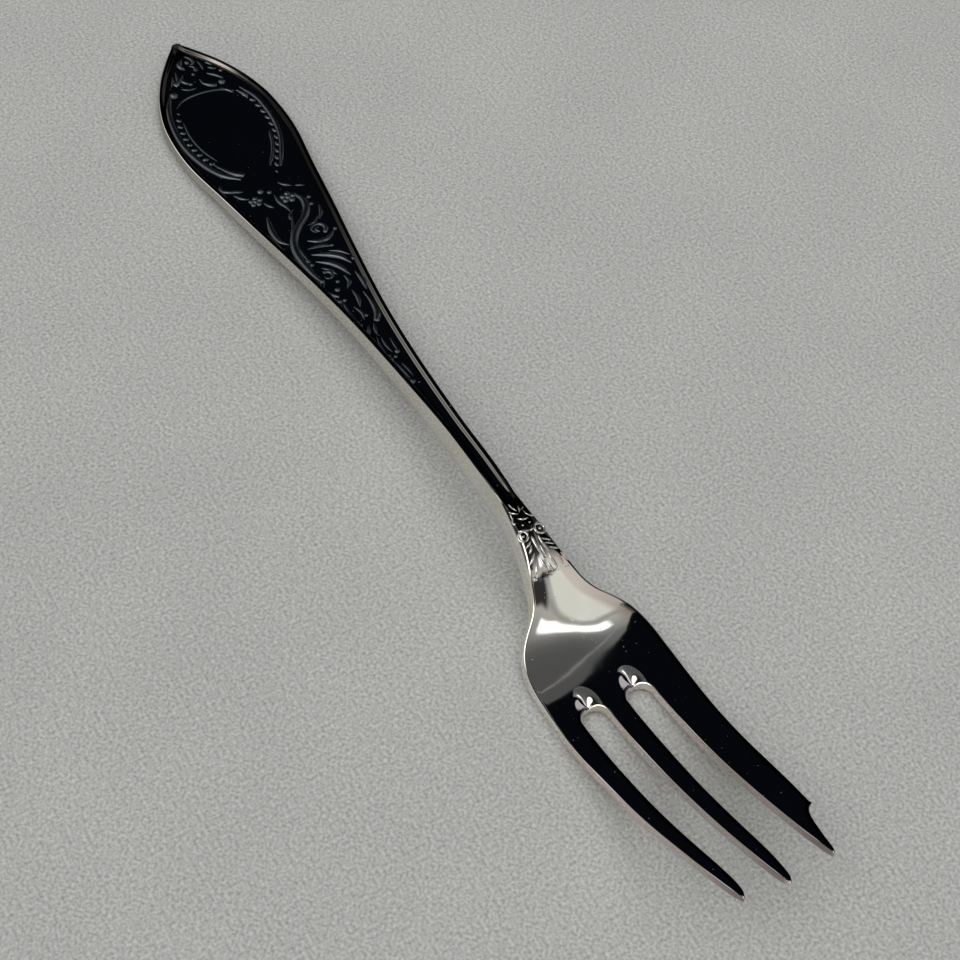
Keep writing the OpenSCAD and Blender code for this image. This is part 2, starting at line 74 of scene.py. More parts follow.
def drawn(table):
    """A natural cubic spline through given places, as a spline strip of the die maker's would lie."""
    x, y = (np.array(c, float) for c in zip(*table))
    n, h = len(x), np.diff(x)
    system, load = np.eye(n), np.zeros(n)
    for i in range(1, n - 1):
        system[i, i - 1:i + 2] = h[i - 1], 2 * (h[i - 1] + h[i]), h[i]
        load[i] = 6 * ((y[i + 1] - y[i]) / h[i] - (y[i] - y[i - 1]) / h[i - 1])
    m = np.linalg.solve(system, load)

    def at(q):
        q = np.clip(np.asarray(q, float), x[0], x[-1])
        k = np.clip(np.searchsorted(x, q, side="right") - 1, 0, n - 2)
        a, b = (x[k + 1] - q) / h[k], (q - x[k]) / h[k]
        return a * y[k] + b * y[k + 1] + ((a ** 3 - a) * m[k] + (b ** 3 - b) * m[k + 1]) * h[k] ** 2 / 6
    return at


def eased(table, reach=1.6):
    """Straight runs between places with their corners worn round."""
    x, y = zip(*table)
    return lambda q: sum(np.interp(np.asarray(q, float) + reach * k / 4, x, y) for k in range(-4, 5)) / 9


# along the fork: half the width, height of the face, thickness, swell of the sides, crown and share of rim
half = drawn(
    [(END * s, LEAF_HALF * w) for s, w in [
        (0, 0.03), (0.065, 0.176), (0.135, 0.325), (0.24, 0.52), (0.35, 0.675), (0.455, 0.79), (0.57, 0.882),
        (0.695, 0.953), (0.83, 0.988)]]
    + [(END + TAPER * s, STEM_HALF + (LEAF_HALF - STEM_HALF) * w) for s, w in [
        (0, 1), (0.05, 0.976), (0.1, 0.912), (0.16, 0.82), (0.23, 0.725), (0.31, 0.613), (0.4, 0.478),
        (0.5, 0.34), (0.6, 0.218), (0.7, 0.131), (0.8, 0.07), (0.9, 0.024), (0.98, 0.002)]]
    + [(leaf_end + STEM / 2, STEM_HALF)]
    + [(neck_x + NECK * s, STEM_HALF + (HEAD_HALF - STEM_HALF) * w) for s, w in [
        (0.1, 0), (0.4, 0.045), (0.7, 0.11), (1, 0.225)]]
    + [(head_x + SHOULDER * s, STEM_HALF + (HEAD_HALF - STEM_HALF) * w) for s, w in [
        (0.13, 0.335), (0.2, 0.445), (0.27, 0.6), (0.34, 0.745), (0.42, 0.86), (0.52, 0.938), (0.64, 0.984),
        (0.78, 0.999), (1, 1)]]
    + [(run_out_x, HEAD_HALF)])
raw_face = drawn(
    [(END * s, LEAF_T + POINT_RISE * z) for s, z in [
        (0, 1), (0.17, 0.52), (0.36, 0.18), (0.56, 0.03), (0.7, 0)]]
    + [(END + TAPER * s, LEAF_T + (NECK_H - LEAF_T) * z) for s, z in [
        (0, 0.02), (0.11, 0.09), (0.22, 0.19), (0.34, 0.31), (0.5, 0.44), (0.66, 0.56), (0.81, 0.7),
        (0.94, 0.85)]]
    + [(leaf_end + STEM * 0.45, LEAF_T + (NECK_H - LEAF_T) * 0.97), (neck_x, NECK_H)]
    + [(neck_x + NECK * s, PLATE_T + (NECK_H - PLATE_T) * z) for s, z in [
        (0.3, 0.985), (0.65, 0.88), (1, 0.63), (1.3, 0.35), (1.6, 0.12), (2, 0.01)]]
    + [(root_x + TINE * s, PLATE_T + TINE_RISE * z) for s, z in [
        (0, 0.012), (0.12, 0.05), (0.28, 0.15), (0.42, 0.285), (0.55, 0.44), (0.68, 0.605), (0.81, 0.77),
        (0.91, 0.89), (1, 1)]])
thick = drawn([
    (0, LEAF_T * 0.7), (END * 0.3, LEAF_T * 0.9), (END * 0.7, LEAF_T),
    (END + TAPER * 0.2, LEAF_T + (STEM_T - LEAF_T) * 0.2),
    (END + TAPER * 0.5, LEAF_T + (STEM_T - LEAF_T) * 0.6),
    (END + TAPER * 0.85, STEM_T), (leaf_end + STEM * 0.3, STEM_T),
    (neck_x + NECK * 0.4, PLATE_T + (STEM_T - PLATE_T) * 0.92),
    (head_x, PLATE_T + (STEM_T - PLATE_T) * 0.65),
    (head_x + SHOULDER * 0.25, PLATE_T + (STEM_T - PLATE_T) * 0.25), (head_x + SHOULDER * 0.5, PLATE_T),
    (root_x, PLATE_T), (run_out_x, PLATE_T)])
swell = eased([
    (0, 0), (END * 0.25, SIDE_SWELL), (handle_end, SIDE_SWELL), (neck_x + NECK * 0.2, NECK_SWELL),
    (neck_x + NECK * 0.8, NECK_SWELL), (head_x + SHOULDER * 0.4, SIDE_SWELL), (root_x, 0), (fork_len, 0)])
crown = eased([
    (0, FACE_CROWN), (neck_x - STEM * 0.2, FACE_CROWN), (neck_x + NECK * 0.4, NECK_CROWN),
    (head_x + SHOULDER * 0.3, HEAD_CROWN), (head_x + SHOULDER * 0.65, HEAD_CROWN), (root_x, FACE_CROWN),
    (root_x + 1.5, 0), (fork_len, 0)])
rimmed = eased([(0, 1), (neck_x - STEM * 0.1, 1), (neck_x + NECK * 0.3, 0), (fork_len, 0)])

# it lies on the leaf's belly and on the plate's, so the line under both is laid level
leaf_belly = END * np.arange(4, 17) / 16
plate_belly = head_x + SHOULDER * np.arange(6, 21) / 20
low = []
for belly in (leaf_belly, plate_belly):
    belly_z = raw_face(belly) - thick(belly)
    low.append((belly[np.argmin(belly_z)], belly_z.min()))


def face(x):
    """Height of the face over the table."""
    x = np.asarray(x, float)
    return raw_face(x) - low[0][1] - (low[1][1] - low[0][1]) * (x - low[0][0]) / (low[1][0] - low[0][0])


def floor_half(x):
    """Half the width of the sunk face between its rims."""
    x_in = np.maximum(x, END * 0.03)
    nudge = 0.014
    slope = (half(x_in + nudge) - half(x_in - nudge)) / (2 * nudge)
    return np.maximum(half(x) - RIM * np.sqrt(1 + slope * slope), half(x) * 0.28)


# The three tines and their two slots: sawn out of the plate's front after striking, then filed and dished
# at the roots. The wide one is the cutting tine, with a notch behind its point for lifting a bite.
SLOT_W, PLAIN_W, MIDDLE_W, SETBACK = 3.3, 2.8, 2.6, 1.1
CUTTING_W = 2 * HEAD_HALF - PLAIN_W - MIDDLE_W - 2 * SLOT_W
NOTCH_BACK, NOTCH_DEPTH, POINT_DROP = 6.5, 0.9, 0.4
CUTTING_POINT = 0.425
POINT_ROUND, POINT_W = 0.03, 0.3
DISH_R, DISH_DEPTH = 2.5, PLATE_T * 0.4
slot_x = root_x + SLOT_W / 2
join_x = root_x + SLOT_W * 0.7
dish_x = root_x - DISH_R * 0.1
middle_y = -HEAD_HALF + PLAIN_W + SLOT_W
cutting_y = middle_y + MIDDLE_W + SLOT_W
slot_ys = (middle_y - SLOT_W / 2, cutting_y - SLOT_W / 2)
middle_len = fork_len - join_x
plain_len = middle_len - SETBACK
cutting_len = middle_len - SETBACK / 2

# each tine's two edges, as shares of its width for each share of its length
plain_low = drawn([
    (0, 0), (0.12, 0.08), (0.29, 0.215), (0.43, 0.295), (0.58, 0.425), (0.72, 0.595), (0.8, 0.7),
    (0.9, 0.87), (0.97, 1.01), (1, 1.1)])
plain_high = drawn([
    (0, 1), (0.14, 1.03), (0.3, 1.07), (0.47, 1.1), (0.62, 1.165), (0.72, 1.235), (0.83, 1.32),
    (0.9, 1.355), (0.96, 1.32), (1, 1.2)])
middle_low = drawn([
    (0, 0), (0.13, 0.06), (0.28, 0.115), (0.42, 0.155), (0.63, 0.235), (0.77, 0.34), (0.87, 0.455),
    (0.95, 0.58), (1, 0.69)])
middle_high = drawn([
    (0, 1), (0.14, 1.03), (0.28, 1.038), (0.45, 1.002), (0.6, 1), (0.73, 1.018), (0.86, 1.038),
    (0.92, 1.005), (0.97, 0.92), (1, 0.8)])
cutting_low = drawn([
    (0, 0), (0.12, 0.04), (0.28, 0.068), (0.53, 0.11), (0.71, 0.165), (0.8, 0.205), (0.88, 0.255),
    (0.95, 0.32), (1, 0.37)])
cutting_back = drawn([(0, 1), (0.2, 0.976), (0.42, 0.962), (0.62, 0.946), (0.8, 0.885), (1, 0.8)])
notch = [(0, 0), (0.03, 0.35), (0.07, 0.62), (0.13, 0.83), (0.21, 0.95), (0.32, 1), (1, 1)]


def cutting_high(s):
    """The wide tine's outer edge: it steps in at the notch and then runs to its point."""
    u = (s * cutting_len - cutting_len + NOTCH_BACK) / NOTCH_BACK
    brink, d = cutting_back(1 - NOTCH_BACK / cutting_len), NOTCH_DEPTH / CUTTING_W
    to_point = CUTTING_POINT + (brink - d - CUTTING_POINT) * (1 - u)
    return np.where(u <= 0, cutting_back(s), to_point + d * (1 - np.interp(u, *zip(*notch))))


def tine_edges(low_edge, high_edge, width, y0, length):
    """Points along both edges of a tine, its point filed round."""
    bare = 1 - POINT_ROUND
    turned = np.sin(np.linspace(0, math.pi / 2, 200))
    s = np.concatenate([np.linspace(0, bare, 1400), 1 - POINT_ROUND * (1 - turned)])
    lo, hi = y0 + width * low_edge(s), y0 + width * high_edge(s)
    u = np.clip((s - bare) / POINT_ROUND, 0, 1)
    mid, w = (lo + hi) / 2, np.where(s > bare, np.maximum(hi - lo, POINT_W), hi - lo) * np.sqrt(1 - u * u)
    x = join_x + s * length
    return np.c_[x, mid - w / 2], np.c_[x, mid + w / 2]


def tine_t(s):
    """Thickness along a tine, which thins steadily and then quickly at its point."""
    u = np.clip((s - 0.94) / 0.06, 0, 1)
    return (PLATE_T + (POINT_T - PLATE_T) * s * s) * (0.4 + 0.6 * np.sqrt(1 - u * u))


def slot_round(y):
    """The half circle that ends a slot."""
    a = np.radians(np.linspace(90, 270, 181))
    return np.c_[slot_x + SLOT_W / 2 * np.cos(a), y + SLOT_W / 2 * np.sin(a)]


# the handle's point is filed round over its first half millimetre
nose = 0.5
xs = np.linspace(0, join_x, 6001)
side_y = np.where(xs < nose, half(nose) * np.sqrt(np.clip(1 - ((nose - xs) / nose) ** 2, 0, 1)), half(xs))
plain = tine_edges(plain_low, plain_high, PLAIN_W, -HEAD_HALF, plain_len)
middle = tine_edges(middle_low, middle_high, MIDDLE_W, middle_y, middle_len)
cutting = tine_edges(cutting_low, cutting_high, CUTTING_W, cutting_y, cutting_len)
edge_line = np.concatenate([
    np.c_[xs, side_y], cutting[1][1:], cutting[0][::-1], slot_round(slot_ys[1]), middle[1], middle[0][::-1],
    slot_round(slot_ys[0]), plain[1], plain[0][::-1], np.c_[xs, -side_y][::-1][1:]])

# The skin of the blank: rolled walls all round the outline, the sunk face between its rims on top and the
# plain belly below. It is worked out once over the whole fork, so that polish runs unbroken over every
# region, and is then parted into the regions that the maker names.
CUTS = (handle_end, neck_x, head_x, join_x)
FINE_STEP, CORNER_EASE, BEND_EASE, STATION_GAP, CROWDING = 0.02, 0.06, 0.25, 0.3, 2.2
NECK_ROLL, HEAD_ROLL, TINE_ROLL = 0.8, 0.5, 0.42
FOOT_SHARE, TINE_FOOT_SHARE = 0.45, 0.22
FACE_PITCH, BELLY_PITCH = 0.3, 0.5
ROOT_R, ROOT_LONG, ROOT_WIDE, ROOT_PITCH, ROOT_GAP = 2.6, 3, 2.9, 0.14, 0.09
# rows of skin to each span of a wall
PER = 3


def round_loop(v, sigma, step):
    """A closed run of values with its corners eased over sigma millimetres."""
    k = int(4 * sigma / step)
    w = np.exp(-0.5 * (np.arange(-k, k + 1) * step / sigma) ** 2)
    w /= w.sum()
    padded = np.concatenate([v[-k:], v, v[:k]])
    return np.array([np.convolve(c, w, "valid") for c in padded.T]).T


def along(line, step):
    """Evenly spaced points along a closed line."""
    run = np.concatenate([line, line[:1]])
    gaps = np.linalg.norm(np.diff(run, axis=0), axis=1)
    run, gaps = run[np.concatenate([[True], gaps > 1e-9])], gaps[gaps > 1e-9]
    s = np.concatenate([[0], np.cumsum(gaps)])
    q = np.linspace(0, s[-1], int(s[-1] / step) + 1)[:-1]
    return np.c_[np.interp(q, s, run[:, 0]), np.interp(q, s, run[:, 1])], s[-1] / len(q)


# stations for the walls stand evenly along the outline, closer where it bends, and one stands at every cut
fine, step = along(edge_line, FINE_STEP)
fine = round_loop(fine, CORNER_EASE, step)
tangent = (np.roll(fine, -1, 0) - np.roll(fine, 1, 0)) / (2 * step)
tangent /= np.linalg.norm(tangent, axis=1)[:, None]
swing = np.roll(tangent, -1, 0) - np.roll(tangent, 1, 0)
bend = round_loop(np.linalg.norm(swing, axis=1)[:, None] / (2 * step), BEND_EASE, step)[:, 0]
count = np.cumsum(step * (1 + CROWDING * bend) / STATION_GAP)
picks = np.unique(np.searchsorted(count, np.arange(0.5, count[-1], 1.0)))
crossings = []
for cut_x in CUTS:
    crossing = np.nonzero((fine[:, 0] - cut_x) * (np.roll(fine[:, 0], -1) - cut_x) < 0)[0]
    moved = picks[[np.argmin(np.abs(picks - c)) for c in crossing]]
    picks = np.union1d(np.setdiff1d(picks, moved), crossing)
    crossings.append(crossing)
station_of = {p: i for i, p in enumerate(picks)}
cut_ends = [sorted((station_of[c] for c in crossing), key=lambda i: -fine[picks[i], 1])
            for crossing in crossings]
edge, way = fine[picks], tangent[picks]
out = np.c_[-way[:, 1], way[:, 0]]
n = len(edge)

# radius of the largest circle that touches the edge here and stays inside the outline
probe = fine[::3]
clear = np.empty(n)
for i in range(n):
    gap = edge[i] - probe
    lean = gap @ out[i]
    fits = lean > 1e-4
    clear[i] = ((gap[fits] ** 2).sum(1) / (2 * lean[fits])).min()
clear = np.minimum(np.minimum(clear, np.roll(clear, 1)), np.roll(clear, -1))
for _ in range(3):
    clear = np.minimum(clear, (np.roll(clear, 1) + 2 * clear + np.roll(clear, -1)) / 4)


def tine_of(y):
    """Which tine a place past the roots belongs to: 0 plain, 1 middle, 2 cutting."""
    return (y > middle_y - SLOT_W * 0.55).astype(int) + (y > cutting_y - SLOT_W * 0.55).astype(int)


def under(x, y):
    """Thickness of the metal."""
    length = np.array([plain_len, middle_len, cutting_len])[tine_of(y)]
    return np.where(x < join_x, thick(x), tine_t(np.clip((x - join_x) / length, 0, 1)))


def dish(x, y):
    """How deep the face is filed away at a slot's root: a half-moon scoop that leads into the slot."""
    cut = 0
    for ys in slot_ys:
        off = np.hypot(np.minimum(x - dish_x, 0) / DISH_R, (y - ys) / (SLOT_W * 0.5))
        fall = DISH_DEPTH * np.clip(1.02 - off, 0, 1) ** 1.8
        cut = cut + fall * np.exp(-0.5 * (np.maximum(x - slot_x + 0.8, 0) / 0.5) ** 2)
    return cut


def sunk(x):
    """How far the face lies below its rims."""
    return RECESS * rimmed(x) * np.minimum(1, half(x) / STEM_HALF)


def arch(x, y):
    """How far the face's gentle crown stands up, over the sunk floor or, on the head, from edge to edge."""
    v = np.minimum(1, np.abs(y) / (half(x) + (floor_half(x) - half(x)) * rimmed(x)))
    return crown(x) * (1 - v * v)


def nod(x, y):
    """How far the points of the tines are rounded off from above."""
    ends_at = join_x + np.array([plain_len, middle_len, cutting_len])[tine_of(y)]
    return POINT_DROP * np.clip((x - ends_at) / POINT_DROP / 2 + 1, 0, 1) ** 2


def top_z(x, y):
    """Height of the finished top over the table."""
    return face(x) - sunk(x) + arch(x, y) - dish(x, y) - nod(x, y)


def over_controls(places, per):
    """A smooth run through each station's places, per points to a span."""
    p = np.concatenate([2 * places[:, :1] - places[:, 1:2], places, 2 * places[:, -1:] - places[:, -2:-1]], 1)
    t = np.linspace(0, 1, per, endpoint=False)[None, None, :, None]
    a, b, c, d = (p[:, k:p.shape[1] - 3 + k, None] for k in range(4))
    q = 0.5 * (2 * b + (c - a) * t + (2 * a - 5 * b + 4 * c - d) * t * t + (3 * b - a - 3 * c + d) * t ** 3)
    return np.concatenate([q.reshape(len(places), -1, q.shape[-1]), places[:, -1:]], 1)


# at each station: how far in the edge starts to roll, how high its foot turns under, how far its side bulges
ex, ey = edge.T
body = (ex < join_x) & (np.abs(np.abs(ey) - half(np.minimum(ex, join_x))) < 0.05)
rim_share = body * rimmed(ex)
metal = under(ex, ey)
roll = np.where(body, np.minimum(RIM, half(ex) * 0.72), TINE_ROLL)
head_roll = np.interp(ex, [neck_x, head_x, root_x], [NECK_ROLL, HEAD_ROLL, TINE_ROLL])
roll = np.minimum(np.where(body & (ex > neck_x), head_roll, roll), 0.8 * clear)
foot = np.where(body, np.interp(ex, [neck_x, root_x], [FOOT_SHARE, TINE_FOOT_SHARE]), TINE_FOOT_SHARE) * metal
foot = np.minimum(foot, 0.6 * clear)
bulge = np.minimum(np.where(body, swell(ex), 0), ex * 0.2)


def mixed(flush, raised):
    """A measure of the wall between its value without a rim and its value with one."""
    return flush * (1 - rim_share) + raised * rim_share


outward = np.c_[-roll, mixed(-0.64 * roll, -0.6 * roll), mixed(-0.34 * roll, -0.36 * roll),
                mixed(-0.08 * roll, -0.13 * roll), mixed(bulge / 2, 0.02), bulge * 0.8 + 0.01,
                bulge - 0.1 * foot, bulge - 0.5 * foot, np.maximum(bulge - 1.15 * foot, -0.8 * clear)]
down = np.c_[0 * roll, mixed(0, 0.03), mixed(0.05 * roll, 0), mixed(0.3 * roll, 0.03),
             mixed(0.42 * metal, 0.2), 0.6 * metal, metal - 0.7 * foot, metal - 0.2 * foot, metal]
walls = over_controls(np.stack([outward, down], 2), PER)
rows = walls.shape[1]
wx = ex[:, None] + out[:, :1] * walls[:, :, 0]
wy = ey[:, None] + out[:, 1:] * walls[:, :, 0]
sunk_in = np.clip(walls[:, :, 1] / (0.42 * metal[:, None]), 0, 1)
wz = face(wx) - walls[:, :, 1] + (arch(wx, wy) - dish(wx, wy)) * (1 - sunk_in) - nod(wx, wy)
wz[:, 0] = top_z(wx[:, 0], wy[:, 0])
lip = np.linspace(0, 1, PER + 1)[:-1]
wz[:, :PER] -= sunk(ex)[:, None] * (1 - lip) ** 1.2 * (np.arange(PER) > 0)
skin = np.stack([wx, wy, wz], 2).reshape(-1, 3)
faces, kinds = [], []


def region(x, y):
    """Name of the region that a place on the fork belongs to."""
    if x > join_x:
        return ("plain_tine", "middle_tine", "cutting_tine")[int(tine_of(np.array(y)))]
    return ("handle", "stem", "neck", "shoulder_plate")[int(np.searchsorted([handle_end, neck_x, head_x], x))]


for i in range(n):
    i2 = (i + 1) % n
    mid = (edge[i] + edge[i2]) / 2
    kind = region(*mid)
    for j in range(rows - 1):
        faces.append((i * rows + j, i2 * rows + j, i2 * rows + j + 1, i * rows + j + 1))
        kinds.append(kind)


def within(points, loop):
    """True where a point is inside a closed line."""
    found = np.zeros(len(points), bool)
    for (x0, y0), (x1, y1) in zip(loop, np.roll(loop, -1, 0)):
        if y0 == y1:
            continue
        hit = (points[:, 1] > min(y0, y1)) & (points[:, 1] <= max(y0, y1))
        hit[hit] &= points[hit, 0] < x0 + (points[hit, 1] - y0) * (x1 - x0) / (y1 - y0)
        found ^= hit
    return found


def near(points, others, reach):
    """True where a point is closer than reach to one of the others."""
    tree = kdtree.KDTree(len(others))
    for i, o in enumerate(others):
        tree.insert((o[0], o[1], 0), i)
    tree.balance()
    return np.array([tree.find((p[0], p[1], 0))[2] < reach for p in points])


def net_over(x0, x1, y0, y1, pitch):
    """An even net of staggered rows."""
    return np.array([(px, py) for k, py in enumerate(np.arange(y0, y1, pitch * 0.866))
                     for px in np.arange(x0 + pitch / 2 * (k % 2), x1, pitch)])


def sheet(row, pitch, height, flip):
    """Closes the top or the belly inside the walls' inner edge with an even net of triangles.

    The top's net is finer round the slots' roots, where the face is dished.
    """
    border = [i * rows + row for i in range(n)]
    loop = skin[border][:, :2]
    lines, fixed = [(i, (i + 1) % n) for i in range(n)], []
    # the net has a straight row of its own along every cut between regions
    for stations in cut_ends:
        for a, b in zip(stations[::2], stations[1::2]):
            steps = max(2, int(abs(loop[a][1] - loop[b][1]) / pitch))
            run = [loop[a] + (loop[b] - loop[a]) * k / steps for k in range(1, steps)]
            ids = [a] + [n + len(fixed) + k for k in range(len(run))] + [b]
            fixed += run
            lines += list(zip(ids, ids[1:]))
    drawn_in = np.concatenate([loop, np.array(fixed)])
    net = net_over(0, fork_len, -HEAD_HALF - 1, HEAD_HALF + 1, pitch)
    if not flip:
        roots = [(dish_x - 0.4, ys, 0) for ys in slot_ys]
        small = np.concatenate([
            net_over(cx - ROOT_LONG, cx + ROOT_LONG, cy - ROOT_WIDE, cy + ROOT_WIDE, ROOT_PITCH)
            for cx, cy, _ in roots])
        net = np.concatenate([net[~near(net, roots, ROOT_R)], small[near(small, roots, ROOT_R)]])
    net = net[within(net, loop)]
    kept = ~near(net, drawn_in, pitch * 0.5)
    if not flip:
        kept |= near(net, roots, ROOT_R) & ~near(net, drawn_in, ROOT_GAP)
    places = [Vector(p) for p in np.concatenate([drawn_in, net[kept]])]
    spots, _, triangles, origin = geometry.delaunay_2d_cdt(places, lines, [], 1, 1e-7)[:4]
    ids, grown = [], []
    for spot, first in zip(spots, origin):
        if first and first[0] < n:
            ids.append(border[first[0]])
        else:
            ids.append(len(skin) + len(grown))
            grown.append((spot[0], spot[1]))
    for tri in triangles:
        cx, cy = (sum(spots[v][k] for v in tri) / 3 for k in range(2))
        faces.append(tuple(ids[v] for v in (reversed(tri) if flip else tri)))
        kinds.append(region(cx, cy))
    grown = np.array(grown)
    return np.concatenate([skin, np.c_[grown, height(grown[:, 0], grown[:, 1])]])


skin = sheet(0, FACE_PITCH, top_z, False)
skin = sheet(rows - 1, BELLY_PITCH, lambda x, y: face(x) - under(x, y), True)
# into metres about the frame's middle, and no further out than the CAD box
place = np.clip((skin - [fork_len / 2, 0, 0]) * MM, *map(np.array, cad_box))

# Painted shade darkens the sides, the rims and the handle's point, dimming their reflections, and tarnish
# lies between the neck's husks, where a cloth doesn't reach. Their tones are listed along the fork, in
# millimetres from the handle's point.
skin_x = skin[:, 0]
wall_row = np.full(len(skin), -1)
wall_row[:n * rows] = np.arange(n * rows) % rows
facing = np.zeros(len(skin))
facing[:n * rows] = np.repeat(out[:, 1], rows)
over_face = skin[:, 2] - face(skin_x)
# painted shade on the sides, where they mirror the shaded floor beside the fork, darkest by the points
side_tone = np.interp(skin_x, [0, 8, 20, 40, 88, 97, 103, 118, 135, 143, 146.5, 148.2, 148.8],
                      [0.22, 0.34, 0.48, 0.68, 0.8, 0.78, 0.9, 1, 0.85, 0.62, 0.4, 0.4, 1])
# painted shade inside the rims, which dims their reflections
rim_tone = np.interp(skin_x, [0, 2.5, 3.8, 5, 8.5, 10.5, 14, 36, 44, 52, 60, 70, 80, 88, 97],
                     [.06, .08, .12, .24, .2, .05, .02, .02, .06, .14, .24, .32, .3, .34, .1])
# tarnish between the neck's husks
neck_tone = 1 - 0.97 * np.interp(skin_x, [93.1, 93.7, 98.6, 100.8, 102.1], [0, 1, 0.98, 0.86, 0])
# painted shade over the handle's point
tone = np.interp(skin_x, [0, 2, 3.2], [0.06, 0.12, 1])
on_side = (wall_row > 3 * PER + 1) | ((wall_row > 2 * PER) & (skin_x > root_x))
tone[on_side] = side_tone[on_side]
on_rim = (wall_row >= 0) & (wall_row <= 2 * PER)
near_side = facing < 0
# the near rim by the handle's point gets deeper painted shade
tone[on_rim] = np.where(near_side & (skin_x < 12), 0.05, rim_tone)[on_rim]
on_top = (wall_row <= 3 * PER) & (over_face > -1)
tone[on_top] = np.minimum(tone, neck_tone)[on_top]
# painted shade leaves the head's rim bright on its near side and dark on its far one, save its inner rows by
# the neck
head_rim = on_rim & (skin_x > 102)
tone[head_rim] = np.interp(facing[head_rim], [-0.3, 0.3], [1, 0.12])
tone[head_rim & (skin_x < 109) & (wall_row < PER + 3)] = 1
# from the stem on, the near rim gets no painted shade and shows its full reflection
unshaded_near_rim = on_rim & near_side & (skin_x > 78) & (wall_row > np.where(skin_x < 102, PER + 1, -1))
tone[unshaded_near_rim] = 1
# a painted shadow line lies where the neck's husks end
tone[(np.abs(skin_x - 103.1) < 0.22) & (np.abs(skin[:, 1] + 0.5) < 0.9) & (over_face > -0.6)] = 0.12
# the sides turn warmer towards the tines
warm = (np.interp(skin_x, [110, 128], [0, 1]) * on_side)[:, None]
tone = tone[:, None] * ([1, 0.985, 0.95] - warm * [0, 0.1, 0.07])
whole = bpy.data.meshes.new("blank")
whole.from_pydata(place.tolist(), [], faces)
whole.update()
polish = np.zeros(len(place) * 3, np.float32)
whole.vertices.foreach_get("normal", polish)
polish = polish.reshape(-1, 3)


def give(tree, socket, value):
    """Links another node's output to a socket, or sets a plain value."""
    if isinstance(value, bpy.types.NodeSocket):
        tree.links.new(value, socket)
    else:
        socket.default_value = value


def fed(tree, kind, **inputs):
    """A new node of a tree with its inputs linked or set."""
    made = tree.nodes.new(kind)
    for label, value in inputs.items():
        give(tree, made.inputs[label.replace("_", " ")], value)
    return made


def blended(tree, kind, factor, a, b):
    """Two colours blended in a tree."""
    m = tree.nodes.new("ShaderNodeMix")
    m.data_type, m.blend_type = "RGBA", kind
    for i, value in ((0, factor), (6, a), (7, b)):
        give(tree, m.inputs[i], value)
    return m.outputs[2]


def placed(name, data):
    """A new object of the scene, at the origin."""
    thing = bpy.data.objects.new(name, data)
    bpy.context.scene.collection.objects.link(thing)
    return thing


def silver_finish(name, rough, shade):
    """Old polished silver, wiped for years, with rough added to its roughness.

    Its shade is one colour, or the name of the attribute that holds the mesh's tones of patina and painted
    shade.
    """
    mat = bpy.data.materials.new(name)
    mat.use_nodes = True
    tree = mat.node_tree
    coords = tree.nodes.new("ShaderNodeTexCoord").outputs["Object"]

    def noise(scale, stretch, turn, detail=2.0):
        laid = fed(tree, "ShaderNodeMapping", Vector=coords, Rotation=(0, 0, turn), Scale=stretch)
        return fed(tree, "ShaderNodeTexNoise", Vector=laid.outputs["Vector"], Scale=scale,
                   Detail=detail).outputs["Fac"]

    def ramp(value, stops):
        r = fed(tree, "ShaderNodeValToRGB", Fac=value)
        first, last = r.color_ramp.elements
        first.position, first.color = stops[0][0], (*stops[0][1], 1)
        last.position, last.color = stops[-1][0], (*stops[-1][1], 1)
        for at, colour in stops[1:-1]:
            r.color_ramp.elements.new(at).color = (*colour, 1)
        return r.outputs["Color"]

    def blend(kind, a, b):
        return blended(tree, kind, 1.0, a, b)

    def even(v):
        return (v, v, v)

    clouds = noise(160, (1, 1, 1), 0.3, 4.0)
    colour = ramp(clouds, [
        (0.35, (0.90, 0.865, 0.80)), (0.5, (0.945, 0.925, 0.885)), (0.7, (0.965, 0.95, 0.92))])
    if isinstance(shade, str):
        worn = tree.nodes.new("ShaderNodeAttribute")
        worn.attribute_name = shade
        shade = worn.outputs["Color"]
    lines_a = ramp(noise(2600, (0.03, 1, 1), 0.5), [(0.68, even(0)), (0.76, even(1))])
    lines_b = ramp(noise(3000, (0.025, 1, 1), -0.9), [(0.68, even(0)), (0.76, even(1))])
    lines_c = ramp(noise(2200, (0.03, 1, 1), 1.9), [(0.7, even(0)), (0.77, even(1))])
    hairs = blend("LIGHTEN", blend("LIGHTEN", lines_a, lines_b), lines_c)
    specks = ramp(noise(3200, (1, 1, 1), 0.0, 0.0), [(0.82, even(0)), (0.87, even(1))])
    wiped = ramp(noise(220, (0.4, 1, 1), 0.2, 3.0), [
        (0.35, even(0.035 + rough)), (0.6, even(0.05 + rough)), (0.8, even(0.1 + rough))])
    marks = blend("LIGHTEN", blend("MULTIPLY", hairs, (0.13, 0.13, 0.13, 1)),
                  blend("MULTIPLY", specks, (0.45, 0.45, 0.45, 1)))
    waves = fed(tree, "ShaderNodeBump", Strength=0.35, Distance=0.00001,
                Height=noise(220, (0.7, 1, 1), 0.0, 1.0))
    shader = tree.nodes["Principled BSDF"]
    shader.inputs["Metallic"].default_value = 1.0
    tree.links.new(blend("MULTIPLY", colour, shade), shader.inputs["Base Color"])
    tree.links.new(blend("LIGHTEN", wiped, marks), shader.inputs["Roughness"])
    tree.links.new(waves.outputs["Normal"], shader.inputs["Normal"])
    return mat


